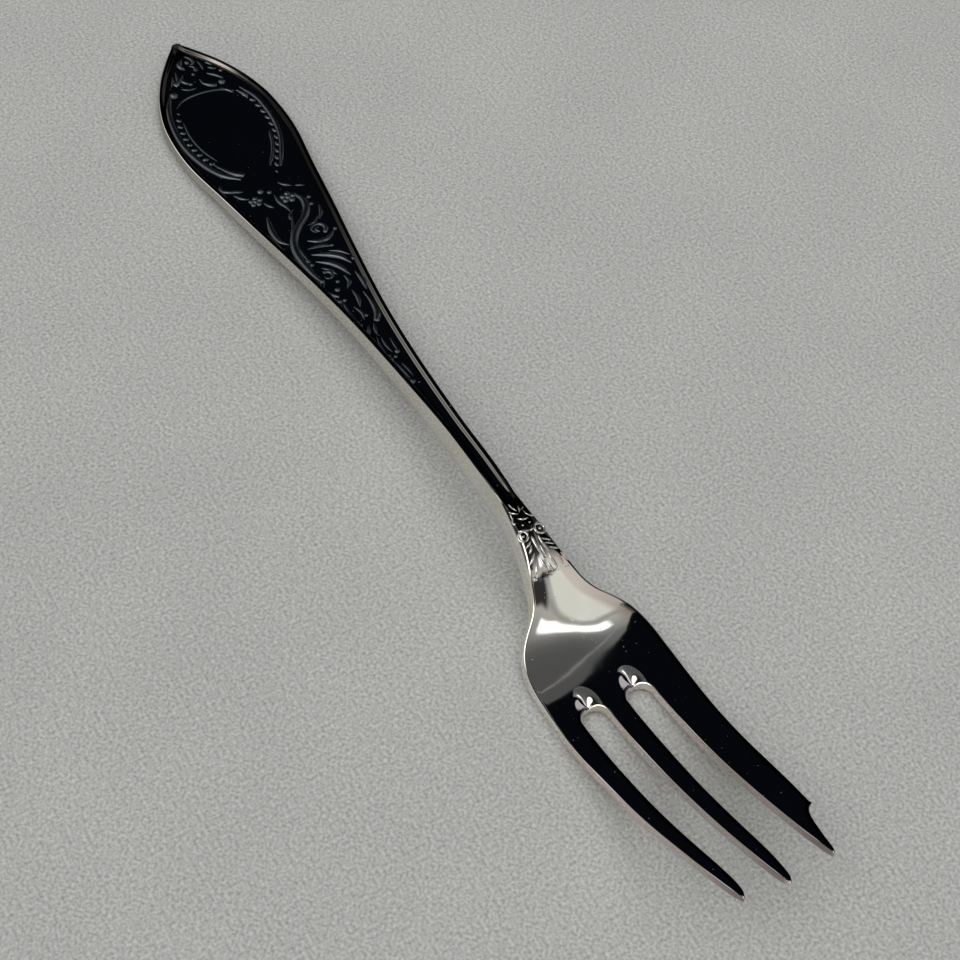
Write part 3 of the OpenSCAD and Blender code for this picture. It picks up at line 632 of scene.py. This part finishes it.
# each region is cut from the whole skin, closed at its cuts, and keeps the name that the maker gives it
polished = silver_finish("polished_silver", 0.0, "patina_and_shade")
for name in ("handle", "stem", "neck", "shoulder_plate", "plain_tine", "middle_tine", "cutting_tine"):
    own = [f for f, kind in zip(faces, kinds) if kind == name]
    used = sorted({v for f in own for v in f})
    own_id = {v: i for i, v in enumerate(used)}
    mesh = bpy.data.meshes.new(name + "_silver")
    mesh.from_pydata(place[used].tolist(), [], [[own_id[v] for v in f] for f in own])
    bm = bmesh.new()
    bm.from_mesh(mesh)
    rims = [e for e in bm.edges if e.is_boundary]
    caps = bmesh.ops.holes_fill(bm, edges=rims, sides=0)["faces"]
    bmesh.ops.triangulate(bm, faces=caps)
    bm.to_mesh(mesh)
    bm.free()
    mesh.polygons.foreach_set("use_smooth", [True] * len(mesh.polygons))
    # the skin keeps the whole fork's normals, and the cuts between regions their own
    shine = []
    for poly in mesh.polygons:
        for corner_id in poly.loop_indices:
            shine.append(tuple(polish[used[mesh.loops[corner_id].vertex_index]]) if poly.index < len(own)
                         else tuple(poly.normal))
    mesh.normals_split_custom_set(shine)
    patina_and_shade = mesh.attributes.new("patina_and_shade", "FLOAT_COLOR", "POINT")
    patina_and_shade.data.foreach_set("color", np.c_[tone[used], np.ones(len(used))].ravel())
    mesh.materials.append(polished)
    piece = placed(name + "_silver", mesh)
    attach(piece, "root")
    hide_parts(name)

# The relief: flowers, scrolls, roped bands and pearls that the die raised from the face in one metal with it.
# Each ridge follows a drawn line over the face, full in the middle and fine at its ends, and each bead
# sits on it. Old polish has dulled it on the leaf, where its dark bluish colour is painted shade that dims
# its reflections, while the neck's spray is still wiped bright. The die sat a little further along than its
# drawing, and each line is sunk into the face by a share of its own height.
DIE_SHIFT, SINK_SHARE = 0.4, 0.3
SWELLS = {"line": [(0, 0.35), (0.12, 0.9), (0.5, 1), (0.88, 0.9), (1, 0.35)],
          "leaf": [(0, 0.2), (0.25, 0.75), (0.5, 1), (0.75, 0.8), (1, 0.15)],
          "comma": [(0, 0.8), (0.15, 1), (0.5, 0.8), (1, 0.2)],
          "bud": [(0, 0.2), (0.5, 0.65), (0.85, 1), (1, 0.75)]}
# painted shade: the leaf's relief has a dark bluish base colour that dims its reflections
dimmed_relief = silver_finish("dimmed_relief", 0.3, (0.18, 0.21, 0.235, 1))
bright_relief = silver_finish("bright_relief", 0.06, (0.95, 0.95, 0.93, 1))


def ring(x, y, r, start, end, shrink=0.0):
    """Places round a volute that starts at radius r and closes by the given share."""
    a = np.radians(np.linspace(start, end, 9))
    k = r * (1 - shrink * np.linspace(0, 1, 9))
    return list(zip(x + k * np.cos(a), y + k * np.sin(a)))


def flower(x, y, r):
    """A bead with five petals round it."""
    return [(x, y, 0.42 * r)] + [(x + 0.66 * r * math.cos(a), y + 0.66 * r * math.sin(a), 0.4 * r)
                                 for a in np.radians(np.arange(20, 380, 72))]


def roped(spots, pitch, long, wide, slant):
    """Slanting beads at even steps along a line."""
    run = over_controls(np.array([spots], float), 12)[0]
    s = np.concatenate([[0], np.cumsum(np.linalg.norm(np.diff(run, axis=0), axis=1))])
    at = np.linspace(0, s[-1], int(s[-1] / pitch) + 1)
    x, y = np.interp(at, s, run[:, 0]), np.interp(at, s, run[:, 1])
    lean = np.arctan2(np.gradient(y), np.gradient(x))
    fade = np.clip(np.minimum(at, s[-1] - at) / 3 + 0.55, 0, 1)
    return [(a, b, long * f / 2, wide * f / 2, c + math.radians(slant))
            for a, b, c, f in zip(x, y, lean, fade)]


struck = bpy.data.node_groups.new("struck_relief", "GeometryNodeTree")
for name, kind in (("Ridges", "Geometry"), ("Beads", "Object"), ("Sides", "Int"), ("Height", "Float"),
                   ("Silver", "Material")):
    struck.interface.new_socket(name, in_out="INPUT", socket_type="NodeSocket" + kind)
struck.interface.new_socket("Relief", in_out="OUTPUT", socket_type="NodeSocketGeometry")
given, result = fed(struck, "NodeGroupInput"), fed(struck, "NodeGroupOutput")
upright = fed(struck, "GeometryNodeSetCurveNormal", Curve=given.outputs["Ridges"])
upright.mode = "Z_UP"
circle = fed(struck, "GeometryNodeCurvePrimitiveCircle", Resolution=given.outputs["Sides"], Radius=1.0)
flatter = fed(struck, "ShaderNodeCombineXYZ", X=1.0, Y=given.outputs["Height"], Z=1.0)
oval = fed(struck, "GeometryNodeTransform", Geometry=circle.outputs["Curve"], Scale=flatter.outputs["Vector"])
girth = fed(struck, "GeometryNodeInputRadius")
ridge = fed(struck, "GeometryNodeCurveToMesh", Curve=upright.outputs["Curve"],
            Profile_Curve=oval.outputs["Geometry"], Scale=girth.outputs["Radius"], Fill_Caps=True)
bead_places = fed(struck, "GeometryNodeObjectInfo", Object=given.outputs["Beads"])
ball = fed(struck, "GeometryNodeMeshUVSphere", Segments=14, Rings=8, Radius=1.0)
turned, sized = (fed(struck, "GeometryNodeInputNamedAttribute", Name=label) for label in ("turn", "girth"))
turned.data_type = sized.data_type = "FLOAT_VECTOR"
set_out = fed(struck, "GeometryNodeInstanceOnPoints", Points=bead_places.outputs["Geometry"],
              Instance=ball.outputs["Mesh"], Rotation=turned.outputs["Attribute"],
              Scale=sized.outputs["Attribute"])
together = fed(struck, "GeometryNodeJoinGeometry", Geometry=ridge.outputs["Mesh"])
struck.links.new(set_out.outputs["Instances"], together.inputs["Geometry"])
smooth = fed(struck, "GeometryNodeSetShadeSmooth", Geometry=together.outputs["Geometry"])
real = fed(struck, "GeometryNodeRealizeInstances", Geometry=smooth.outputs["Geometry"])
dressed = fed(struck, "GeometryNodeSetMaterial", Geometry=real.outputs["Geometry"],
              Material=given.outputs["Silver"])
struck.links.new(dressed.outputs["Geometry"], result.inputs["Relief"])


def strike(name, ridges, beads, sides=12, height=0.8, silver=dimmed_relief):
    """One piece of relief from its ridges and beads.

    A ridge is its width, its swell and its places. A bead is its place and its radius, or its place, both
    girths and its turn.
    """
    line = bpy.data.curves.new(name + "_lines", "CURVE")
    line.dimensions = "3D"
    for width, swell_kind, places in ridges:
        run = over_controls(np.array([places], float), 6)[0] + [DIE_SHIFT, 0]
        s = np.concatenate([[0], np.cumsum(np.linalg.norm(np.diff(run, axis=0), axis=1))])
        wide = width / 2 * np.interp(s / s[-1], *zip(*SWELLS[swell_kind]))
        level = top_z(run[:, 0], run[:, 1]) - SINK_SHARE * height * wide
        spline = line.splines.new("POLY")
        spline.points.add(len(run) - 1)
        points = np.c_[(run - [fork_len / 2, 0]) * MM, level * MM, np.ones(len(run))]
        spline.points.foreach_set("co", points.ravel())
        spline.points.foreach_set("radius", wide * MM)
    host = placed(name + "_lines", line)
    full = [b if len(b) == 5 else (*b, b[2], 0.0) for b in beads]
    bx, by, long, wide, turn = np.array(full, float).T
    bx = bx + DIE_SHIFT
    cloud = bpy.data.meshes.new(name + "_beads")
    level = top_z(bx, by) - SINK_SHARE * height * wide
    cloud.from_pydata((np.c_[bx - fork_len / 2, by, level] * MM).tolist(), [], [])
    turns, girths = np.c_[turn * 0, turn * 0, turn], np.c_[long, wide, height * wide] * MM
    for label, values in (("turn", turns), ("girth", girths)):
        cloud.attributes.new(label, "FLOAT_VECTOR", "POINT").data.foreach_set("vector", values.ravel())
    pearls = placed(name + "_beads", cloud)
    grow = host.modifiers.new("struck_relief", "NODES")
    grow.node_group = struck
    settings = {"Beads": pearls, "Sides": sides, "Height": height, "Silver": silver}
    for item in struck.interface.items_tree:
        if item.name in settings:
            grow[item.identifier] = settings[item.name]
    bpy.context.view_layer.update()
    mesh = bpy.data.meshes.new_from_object(host.evaluated_get(bpy.context.evaluated_depsgraph_get()))
    mesh.name = name + "_relief"
    for spare in (host, pearls):
        bpy.data.objects.remove(spare)
    piece = placed(name + "_relief", mesh)
    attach(piece, "root")
    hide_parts(name)


strike("oval_band", [
    (1, "line", [(7.9, -4.6), (9.8, -5.7), (12, -6.4), (15, -6.85), (18, -6.85), (21, -6.35),
                   (23.5, -5.6), (25.6, -4.5), (27.2, -3)]),
    (0.9, "bud", [(22.6, -4.9), (24.4, -4.1), (25.7, -3.3), (26.7, -2.3)]),
    (0.7, "line", [(10.4, 4.9), (13, 6), (16, 6.3), (19, 6.15), (22, 5.5), (25, 4.2), (27.4, 2.9)]),
    (0.5, "line", [(20.2, 4.7), (22.5, 4), (24.6, 3), (26.6, 1.7)]),
    (0.4, "line", [(10.7, 3.9), (9.7, 2.4), (9.15, 0.5), (9, -1.5), (9.3, -3.3), (10.2, -4.6)]),
    (0.35, "line", [(13.2, -5), (16.2, -5.3), (19.4, -5), (22.2, -4.2)]),
], roped([(11.3, -4.9), (13, -5.55), (15.6, -6), (17.8, -6.05), (20, -5.7), (22, -5.15), (23.6, -4.5)],
         1.25, 0.95, 0.6, 55)
    + roped([(10.9, 4.3), (13.2, 5.25), (15.2, 5.6), (18, 5.65), (20.6, 5.3), (23, 4.5), (25.6, 3.2),
             (28.2, 1.9)], 1.35, 1.05, 0.6, 30))

strike("tip_spray", [
    (0.85, "leaf", [(2.3, -0.3), (3.2, -1), (4.2, -0.6)]),
    (0.55, "leaf", [(2, 0.3), (2.6, 0.9), (3.4, 1), (3.7, 0.4)]),
    (0.65, "bud", [(3.8, 0.2), (4.3, 0.8), (5, 0.7)]),
    (0.5, "leaf", [(4, 2.5), (4.4, 3), (4.9, 3.2)]),
    (0.5, "leaf", [(5, 2.5), (5.4, 3), (5.7, 3.5)]),
    (0.4, "leaf", [(3.4, 1.6), (4.2, 1.8), (5.2, 1.7)]),
    (0.75, "comma", [(8.6, 2.2), (8.2, 1.4), (7.5, 0.7), (6.6, 0.5)]),
    (0.55, "leaf", [(9.4, 2.4), (10.2, 3.2), (11, 3.6)]),
    (0.8, "leaf", [(10.9, 4.3), (12, 4.9), (12.9, 4.9)]),
    (0.6, "leaf", [(6, 1.9), (6.8, 2.9), (7.8, 3.6)]),
    (0.85, "bud", [(4.1, -2), (5, -2.2), (5.8, -2.4), (6.2, -3)]),
    (0.6, "leaf", [(4.9, -1.3), (5.7, -1.8), (6.4, -1.5), (7, -0.8)]),
    (0.45, "leaf", [(4.6, -2.7), (5.4, -3), (6.2, -3.6)]),
    (0.4, "leaf", [(7.2, -2.6), (7.8, -1.6), (7.9, -0.6)]),
], [
    (8.35, 3.1, 0.52), (7.8, -4, 0.62), (5.4, 0.1, 0.25), (3.1, 0.2, 0.35), (6.3, 3.9, 0.3),
    (6.9, -1, 0.3),
])

strike("scrollwork", [
    (1.15, "line", [(33.4, 1.9), (35.2, 2.4), (36.9, 2), (38.4, 0.9), (39.6, -0.5), (40.9, -1.7),
                    (42.4, -2.5), (44.2, -2.95), (46, -3), (48, -2.85), (50.1, -2.5)]),
    (0.45, "line", [(37.6, -0.4), (39.2, -1.1), (40.6, -1.9), (42, -2.2), (44, -2.3), (46.4, -2.2)]),
    (1, "leaf", [(35.8, -3.2), (37, -3.5), (38.4, -3.8), (39.8, -3.95), (41, -3.75), (42, -3.1)]),
    (0.7, "leaf", [(32.4, -0.5), (34, -0.5), (35.4, -0.1), (36.4, -0.1)]),
    (0.6, "bud", [(36.2, 0.4), (36.8, -0.3), (37.8, -0.7)]),
    (0.5, "leaf", [(30.3, 1), (31, 1.5), (31.8, 2.4)]),
    (0.4, "leaf", [(32, 2.8), (32.3, 3.4), (32.6, 3.9)]),
    (0.6, "line", [(27, -6), (27.9, -6.15), (28.6, -5.6), (29.1, -4.7), (29.6, -3.8)]),
    (0.6, "leaf", [(29.6, -5.2), (30.6, -4.6), (31.4, -3.8)]),
    (0.5, "leaf", [(33, -2.4), (33.8, -2.1), (34.6, -1.6)]),
    (0.7, "comma", ring(41.2, 1.5, 1.15, -330, -20, 0.45)),
    (0.5, "leaf", [(40.7, 1.8), (41.2, 1.3), (41.9, 1.5)]),
    (0.8, "leaf", [(42.6, -0.7), (43.4, 0.6), (43.4, 2), (42.4, 3.3)]),
    (0.7, "leaf", [(44, -1.4), (44.3, 0.4), (45.1, 1.9)]),
    (1, "leaf", [(45.2, -1.4), (46.2, 0.4), (47.4, 1.7), (49, 2.4)]),
    (0.9, "leaf", [(46.6, -1.5), (47.8, 0), (49.3, 0.9), (50.9, 1.3)]),
    (0.5, "leaf", [(45.6, 0.9), (46.4, 2.1), (47.6, 2.9)]),
    (0.5, "leaf", [(48, -1.4), (48.9, -0.6), (50, -0.2)]),
    (0.6, "comma", ring(49.6, -1.3, 0.75, 200, -100, 0.4)),
    (0.8, "leaf", [(50.6, 2.1), (52.4, 2.2), (54.2, 1.9)]),
    (0.6, "leaf", [(37, 3.8), (38.4, 3.4), (39.6, 2.6)]),
    (0.5, "leaf", [(38.8, 2.9), (39.7, 1.8), (40, 0.7)]),
    (0.55, "bud", [(50.4, -2.2), (51.4, -2.7), (52.6, -2.5), (53.7, -1.8)]),
    (0.6, "leaf", [(50.6, 0.5), (51.9, 0.6), (52.9, -0.2)]),
    (1, "comma", [(59.7, 0.4), (58.8, 1), (57.6, 1.3), (56, 1.4), (54.4, 1.3)]),
    (0.45, "line", [(54.9, -1.8), (56.8, -1.95), (58.8, -1.9)]),
    (0.6, "leaf", [(53.4, 0.2), (55, 0.2), (56.6, -0.3)]),
    (0.5, "leaf", [(56.2, -1), (57.6, -0.6), (58.8, -0.9)]),
    (0.5, "leaf", [(60, -0.9), (60.8, -1.3), (61.6, -1.6)]),
    (0.45, "leaf", [(59.9, -0.1), (61, -0.5), (62, -0.7)]),
], flower(33.7, 0.9, 1.1) + flower(32.3, -3.2, 0.95) + [
    (30.8, -1.8, 0.45), (31.5, -0.8, 0.35), (50.2, -2.4, 0.36), (51.2, -0.7, 0.3), (52.5, -1.4, 0.38),
    (54.5, -2.15, 0.4), (54.6, -1.45, 0.28), (58.8, -1.85, 0.28), (59.5, -1.75, 0.32), (46, -2.35, 0.33),
    (46.9, -2.2, 0.28), (44.9, 1.7, 0.25), (58.3, -0.3, 0.25), (48.4, 3, 0.3), (42.3, 3.5, 0.3),
    (36.4, 3, 0.3), (35, 3.3, 0.3),
] + roped([(36.5, -3.5), (37.5, -3.6), (38.6, -3.75)], 0.7, 0.5, 0.45, 60)
    + roped([(41.4, -2.1), (42.6, -2.6), (44, -2.9)], 0.75, 0.5, 0.45, 60))

strike("pendant_drop", [
    (0.42, "leaf", [(62.6, -0.5), (64, -0.6), (65.5, -0.5)]),
    (0.38, "leaf", [(62.3, -0.95), (63.8, -1.25), (65.9, -1.3)]),
    (0.34, "leaf", [(67.7, -0.4), (69, -0.2), (70.3, -0.2)]),
    (0.42, "leaf", [(66.8, -1.05), (68.5, -0.85), (70.5, -0.7)]),
    (0.35, "leaf", [(63.2, 0.4), (64.6, 0.3), (65.6, 0.2)]),
], [(65.7, 0.1, 0.36), (66.5, -1.15, 0.3), (65.9, -1.15, 0.24), (71.1, -0.7, 0.4), (66.4, -0.5, 0.24)])

strike("neck_spray", [
    (0.34, "leaf", [(93.4, -0.5), (94.1, -0.4), (94.9, -0.2)]),
    (0.26, "leaf", [(94.3, 0.4), (94.8, 0.25), (95.3, 0)]),
    (0.34, "leaf", [(94.3, -1.1), (94.9, -0.75), (95.4, -0.2)]),
    (0.26, "leaf", [(94.3, 1), (94.7, 0.75), (95.1, 0.4)]),
    (0.36, "bud", [(95.2, 0.55), (95.8, 0.7), (96.3, 1.25)]),
    (0.4, "leaf", [(96.3, 0.5), (96.25, 0), (95.9, -0.6)]),
    (0.42, "bud", [(95.5, -0.9), (95.9, -1.25), (96.4, -1.2)]),
    (0.34, "line", ring(98, 1.1, 0.6, 200, -150)), (0.34, "line", ring(98.1, -1.15, 0.55, 160, 510)),
    (0.4, "line", [(97.3, 1.45), (97.35, 0.7), (97.75, 0.1), (97.6, -0.5), (97.3, -1.3)]),
    (0.3, "leaf", [(99.1, 0.6), (99.4, 1.1), (99.7, 1.6)]),
    (0.28, "leaf", [(99.7, 0.6), (99.9, 1.2), (100.2, 1.8)]),
    (0.32, "leaf", [(100.3, 1), (100.6, 1.6), (100.8, 2.1)]),
    (0.3, "line", [(98.7, 0.45), (99.7, 0.5), (100.8, 0.8)]),
    (0.4, "line", [(98.5, -0.3), (99.5, -0.32), (100.7, -0.2)]),
    (0.32, "leaf", [(99.8, 0.1), (100.6, 0.15), (101.4, 0.25)]),
    (0.28, "leaf", [(98.9, -0.6), (99.2, -1), (99.4, -1.5)]),
    (0.3, "leaf", [(99.4, -0.8), (99.8, -1.1), (100.1, -1.5)]),
    (0.32, "leaf", [(100.3, -0.9), (100.8, -1.5), (101.2, -2.1)]),
    (0.45, "leaf", [(101, 0.6), (101.8, 0.7), (102.6, 0.9)]),
    (0.5, "leaf", [(100.9, -0.5), (101.8, -0.5), (102.7, -0.5)]),
    (0.45, "leaf", [(101.2, 1.3), (101.9, 1.6), (102.5, 1.7)]),
    (0.45, "leaf", [(101.3, -1.2), (102, -1.6), (102.7, -1.9)]),
    (0.4, "leaf", [(101.2, 2), (101.8, 2.3), (102.3, 2.5)]),
    (0.4, "leaf", [(101.6, 0.1), (102.2, 0.1), (102.8, 0.2)]),
    (0.3, "leaf", [(102.5, 0.9), (102.85, 0.1), (102.6, -0.8)]),
], [
    (98, 1.1, 0.2), (98.1, -1.15, 0.18), (101.2, -0.1, 0.2), (102.6, -2.1, 0.3), (96.9, 0.4, 0.14),
    (96.9, -0.5, 0.14),
], height=0.85, silver=bright_relief)

# The table top: a pale matt stone board under the fork, much larger than the view. Its grain is fine and
# even, over faint clouds. It only carries the fork, and isn't part of it.
FLOOR_REACH = 3.0
FLOOR_CORNERS = ((-1, -1), (1, -1), (1, 1), (-1, 1))
GRAINS = ((2600, (0.3, 0.3, 0.3), (1.8, 1.8, 1.8)), (45, (0.36, 0.367, 0.355), (0.44, 0.445, 0.43)))
floor_mesh = bpy.data.meshes.new("stone_board")
floor_mesh.from_pydata([(FLOOR_REACH * i, FLOOR_REACH * j, 0) for i, j in FLOOR_CORNERS], [], [(0, 1, 2, 3)])
stone = bpy.data.materials.new("pale_stone")
stone.use_nodes = True
stone_tree = stone.node_tree
coords = stone_tree.nodes.new("ShaderNodeTexCoord").outputs["Object"]
tint = (1, 1, 1, 1)
for scale, low_tone, high_tone in GRAINS:
    grain = fed(stone_tree, "ShaderNodeTexNoise", Vector=coords, Scale=scale, Detail=3).outputs["Fac"]
    spread = blended(stone_tree, "MIX", grain, (*low_tone, 1), (*high_tone, 1))
    tint = blended(stone_tree, "MULTIPLY", 1.0, tint, spread)
shader = stone_tree.nodes["Principled BSDF"]
shader.inputs["Roughness"].default_value = 0.85
shader.inputs["Specular IOR Level"].default_value = 0.2
stone_tree.links.new(tint, shader.inputs["Base Color"])
floor_mesh.materials.append(stone)
floor = placed("stone_board", floor_mesh)

# The studio: one wide soft lamp overhead, which the silver doesn't mirror, and a room that it does. The room
# is painted by direction, from -1 to 1 along each axis: a pale wall with a tube of light and a thin cord, a
# dark corner, a pinkish and a lilac patch, a smudge by the tube, a window on the near side and a lit pane.
view = bpy.context.scene.view_settings
view.view_transform = "Standard"
lamp_data = bpy.data.lights.new("soft_box", "AREA")
lamp_data.shape = "RECTANGLE"
lamp_data.size = lamp_data.size_y = 1.1
lamp_data.energy = 5.3
lamp = placed("soft_box", lamp_data)
lamp.location = (0.0, 0.04, 0.8)
lamp.rotation_euler = lamp.location.to_track_quat("Z", "Y").to_euler()
lamp.visible_glossy = False

world = bpy.data.worlds.new("room")
world.use_nodes = True
bpy.context.scene.world = world
room_tree = world.node_tree
aim = room_tree.nodes.new("ShaderNodeTexCoord").outputs["Generated"]
split = fed(room_tree, "ShaderNodeSeparateXYZ", Vector=aim)


def across(way, stops):
    """Colours of the room by a value that runs from -1 to 1 over its directions."""
    value = split.outputs[way] if isinstance(way, str) else way
    ranged = fed(room_tree, "ShaderNodeMapRange", Value=value, From_Min=-1, From_Max=1)
    ramp = fed(room_tree, "ShaderNodeValToRGB", Fac=ranged.outputs["Result"])
    bar = ramp.color_ramp
    bar.elements[0].color, bar.elements[-1].color = (*stops[0][1], 1), (*stops[-1][1], 1)
    for at, colour in stops[1:-1]:
        bar.elements.new((at + 1) / 2).color = (*colour, 1)
    return ramp.outputs["Color"]


def mixed_in(factor, a, b, kind="MIX"):
    """Colour a turned into b by the factor, or both blended in another way."""
    return blended(room_tree, kind, factor, a, b)


def sums(kind, *values):
    """One step of arithmetic on numbers that differ by direction."""
    m = room_tree.nodes.new("ShaderNodeMath")
    m.operation = kind
    for socket, value in zip(m.inputs, values):
        give(room_tree, socket, value)
    return m.outputs["Value"]


def grey(*values):
    """Stops of grey from pairs of place and brightness."""
    return [(at, (v, v, v)) for at, v in values]


def flat(*colour):
    """One colour in every direction."""
    return across("Z", [(-1, colour), (1, colour)])


def past(line):
    """How far to the right of a line a direction lies. The line's places are (ahead, across)."""
    drawn_x = across("Y", grey(*((y, (x + 1) / 2) for y, x in line)))
    drawn_x.node.color_ramp.interpolation = "CARDINAL"
    return sums("ADD", sums("MULTIPLY_ADD", drawn_x, -2.0, split.outputs["X"]), 1.0)


black = flat(0, 0, 0)
tube = past([
    (-1, 0.35), (0.02, 0.44), (0.12, 0.475), (0.239, 0.42), (0.315, 0.257), (0.373, 0.088), (0.429, 0.045),
    (0.47, 0.02), (0.52, -0.02), (1, -0.2)])
shadow_edge = past([
    (-1, -0.9), (0.1, -0.53), (0.15, -0.46), (0.197, -0.393), (0.237, -0.325), (0.276, -0.268), (0.3, -0.235),
    (0.345, -0.214), (0.388, -0.207), (0.42, -0.19), (0.451, -0.155), (0.485, -0.06), (0.525, 0.04),
    (0.57, 0.15), (0.62, 0.27), (1, 0.9)])
cord = past([
    (-1, -0.9), (0.08, -0.42), (0.12, -0.365), (0.162, -0.31), (0.204, -0.262), (0.247, -0.226),
    (0.292, -0.198), (0.341, -0.174), (0.38, -0.147), (0.422, -0.104), (0.466, -0.04), (0.51, 0.03),
    (0.555, 0.1), (1, 0.8)])

pale_wall = across(tube, [
    (-1, (0.07, 0.072, 0.075)), (-0.45, (0.08, 0.083, 0.088)), (-0.3, (0.1, 0.105, 0.11)),
    (-0.18, (0.15, 0.155, 0.16)), (-0.11, (0.25, 0.255, 0.26)), (0.075, (0.42, 0.42, 0.42)),
    (0.12, (0.3, 0.31, 0.32)), (0.16, (0.42, 0.44, 0.44)), (0.2, (0.66, 0.7, 0.69)),
    (1, (0.68, 0.68, 0.66))])
lit = across(tube, [
    (-1, (0, 0, 0)), (-0.15, (0, 0, 0)), (-0.1, (0.3, 0.31, 0.32)), (-0.06, (1.5, 1.55, 1.6)),
    (0.03, (1.5, 1.55, 1.6)), (0.07, (0.45, 0.47, 0.49)), (0.085, (0, 0, 0)), (1, (0, 0, 0))])
lit = mixed_in(across("X", grey((-1, 0), (0.475, 0), (0.5, 1), (1, 1))), lit, black)
lit = mixed_in(across("Y", grey((-1, 0), (0.1, 0), (0.13, 1), (0.41, 1), (0.44, 0), (1, 0))), black, lit)
room = mixed_in(1.0, pale_wall, lit, "LIGHTEN")
on_cord = across(cord, grey((-1, 0), (-0.008, 0), (-0.005, 1), (0.004, 1), (0.008, 0), (1, 0)))
room = mixed_in(on_cord, room, flat(0.26, 0.26, 0.26))

pinkish = across("X", [
    (-1, (0.24, 0.215, 0.205)), (0.1, (0.27, 0.245, 0.235)), (0.25, (0.42, 0.39, 0.38)),
    (0.6, (0.6, 0.57, 0.55)), (1, (0.66, 0.63, 0.6))])
room = mixed_in(across("Y", grey((-1, 0), (0.455, 0), (0.49, 1), (1, 1))), room, pinkish)

dark = flat(0.0015, 0.0022, 0.004)
room = mixed_in(across(shadow_edge, grey((-1, 0), (-0.002, 0), (0.002, 1), (1, 1))), dark, room)
to_right = sums("MAXIMUM", sums("SUBTRACT", split.outputs["X"], 0.2), 0.0)
beyond = sums("MULTIPLY_ADD", to_right, -2.4, split.outputs["Y"])
room = mixed_in(across(beyond, grey((-1, 0), (0.5, 0), (0.515, 1), (1, 1))), room, dark)

lilac_x = across("X", grey((-1, 0), (-0.42, 0), (-0.36, 1), (-0.04, 1), (0, 0), (1, 0)))
lilac_y = across("Y", [(-1, (0, 0, 0)), (0.6, (0, 0, 0)), (0.64, (0.42, 0.4, 0.44)), (1, (0.42, 0.4, 0.44))])
room = mixed_in(1.0, room, mixed_in(lilac_x, black, lilac_y), "LIGHTEN")

smudge_y = across("Y", grey((-1, 1), (0.13, 1), (0.18, 0), (1, 0)))
smudged = mixed_in(smudge_y, black, across(tube, grey((-1, 0), (0.06, 0), (0.09, 0.97), (1, 0.97))))
room = mixed_in(smudged, room, flat(0.02, 0.02, 0.02))

window = across("Z", [
    (-1, (0.4, 0.39, 0.37)), (0.1, (0.42, 0.41, 0.39)), (0.5, (0.42, 0.41, 0.4)), (0.56, (1, 1, 1)),
    (0.66, (1, 1, 1)), (0.72, (0.03, 0.03, 0.034)), (1, (0.003, 0.004, 0.007))])
room = mixed_in(across("Y", grey((-1, 1), (-0.3, 1), (-0.1, 0), (1, 0))), room, window)

toward = fed(room_tree, "ShaderNodeVectorMath", Vector=aim)
toward.operation = "DOT_PRODUCT"
toward.inputs[1].default_value = (0.03, -0.51, 0.86)
pane = across(toward.outputs["Value"], grey((-1, 0), (0.95, 0), (0.975, 1), (1, 1)))
room = mixed_in(pane, room, flat(2.6, 2.5, 2.45))
room_tree.links.new(room, room_tree.nodes["Background"].inputs["Color"])

# The camera looks down over the fork from beside its tines, as in the photograph. The matrix holds its three
# turned axes and, in the last column, its place in metres.
camera = placed("camera", bpy.data.cameras.new("camera"))
camera.data.lens, camera.data.sensor_width = 71.25, 36.0
camera.data.clip_start = 0.01
camera.matrix_world = Matrix(((0.49747159, -0.71836094, 0.48629166, 0.122066),
                              (0.86700299, 0.39313678, -0.30618506, -0.069107),
                              (0.02877225, 0.57393469, 0.81839546, 0.188814), (0, 0, 0, 1)))
bpy.context.scene.camera = camera
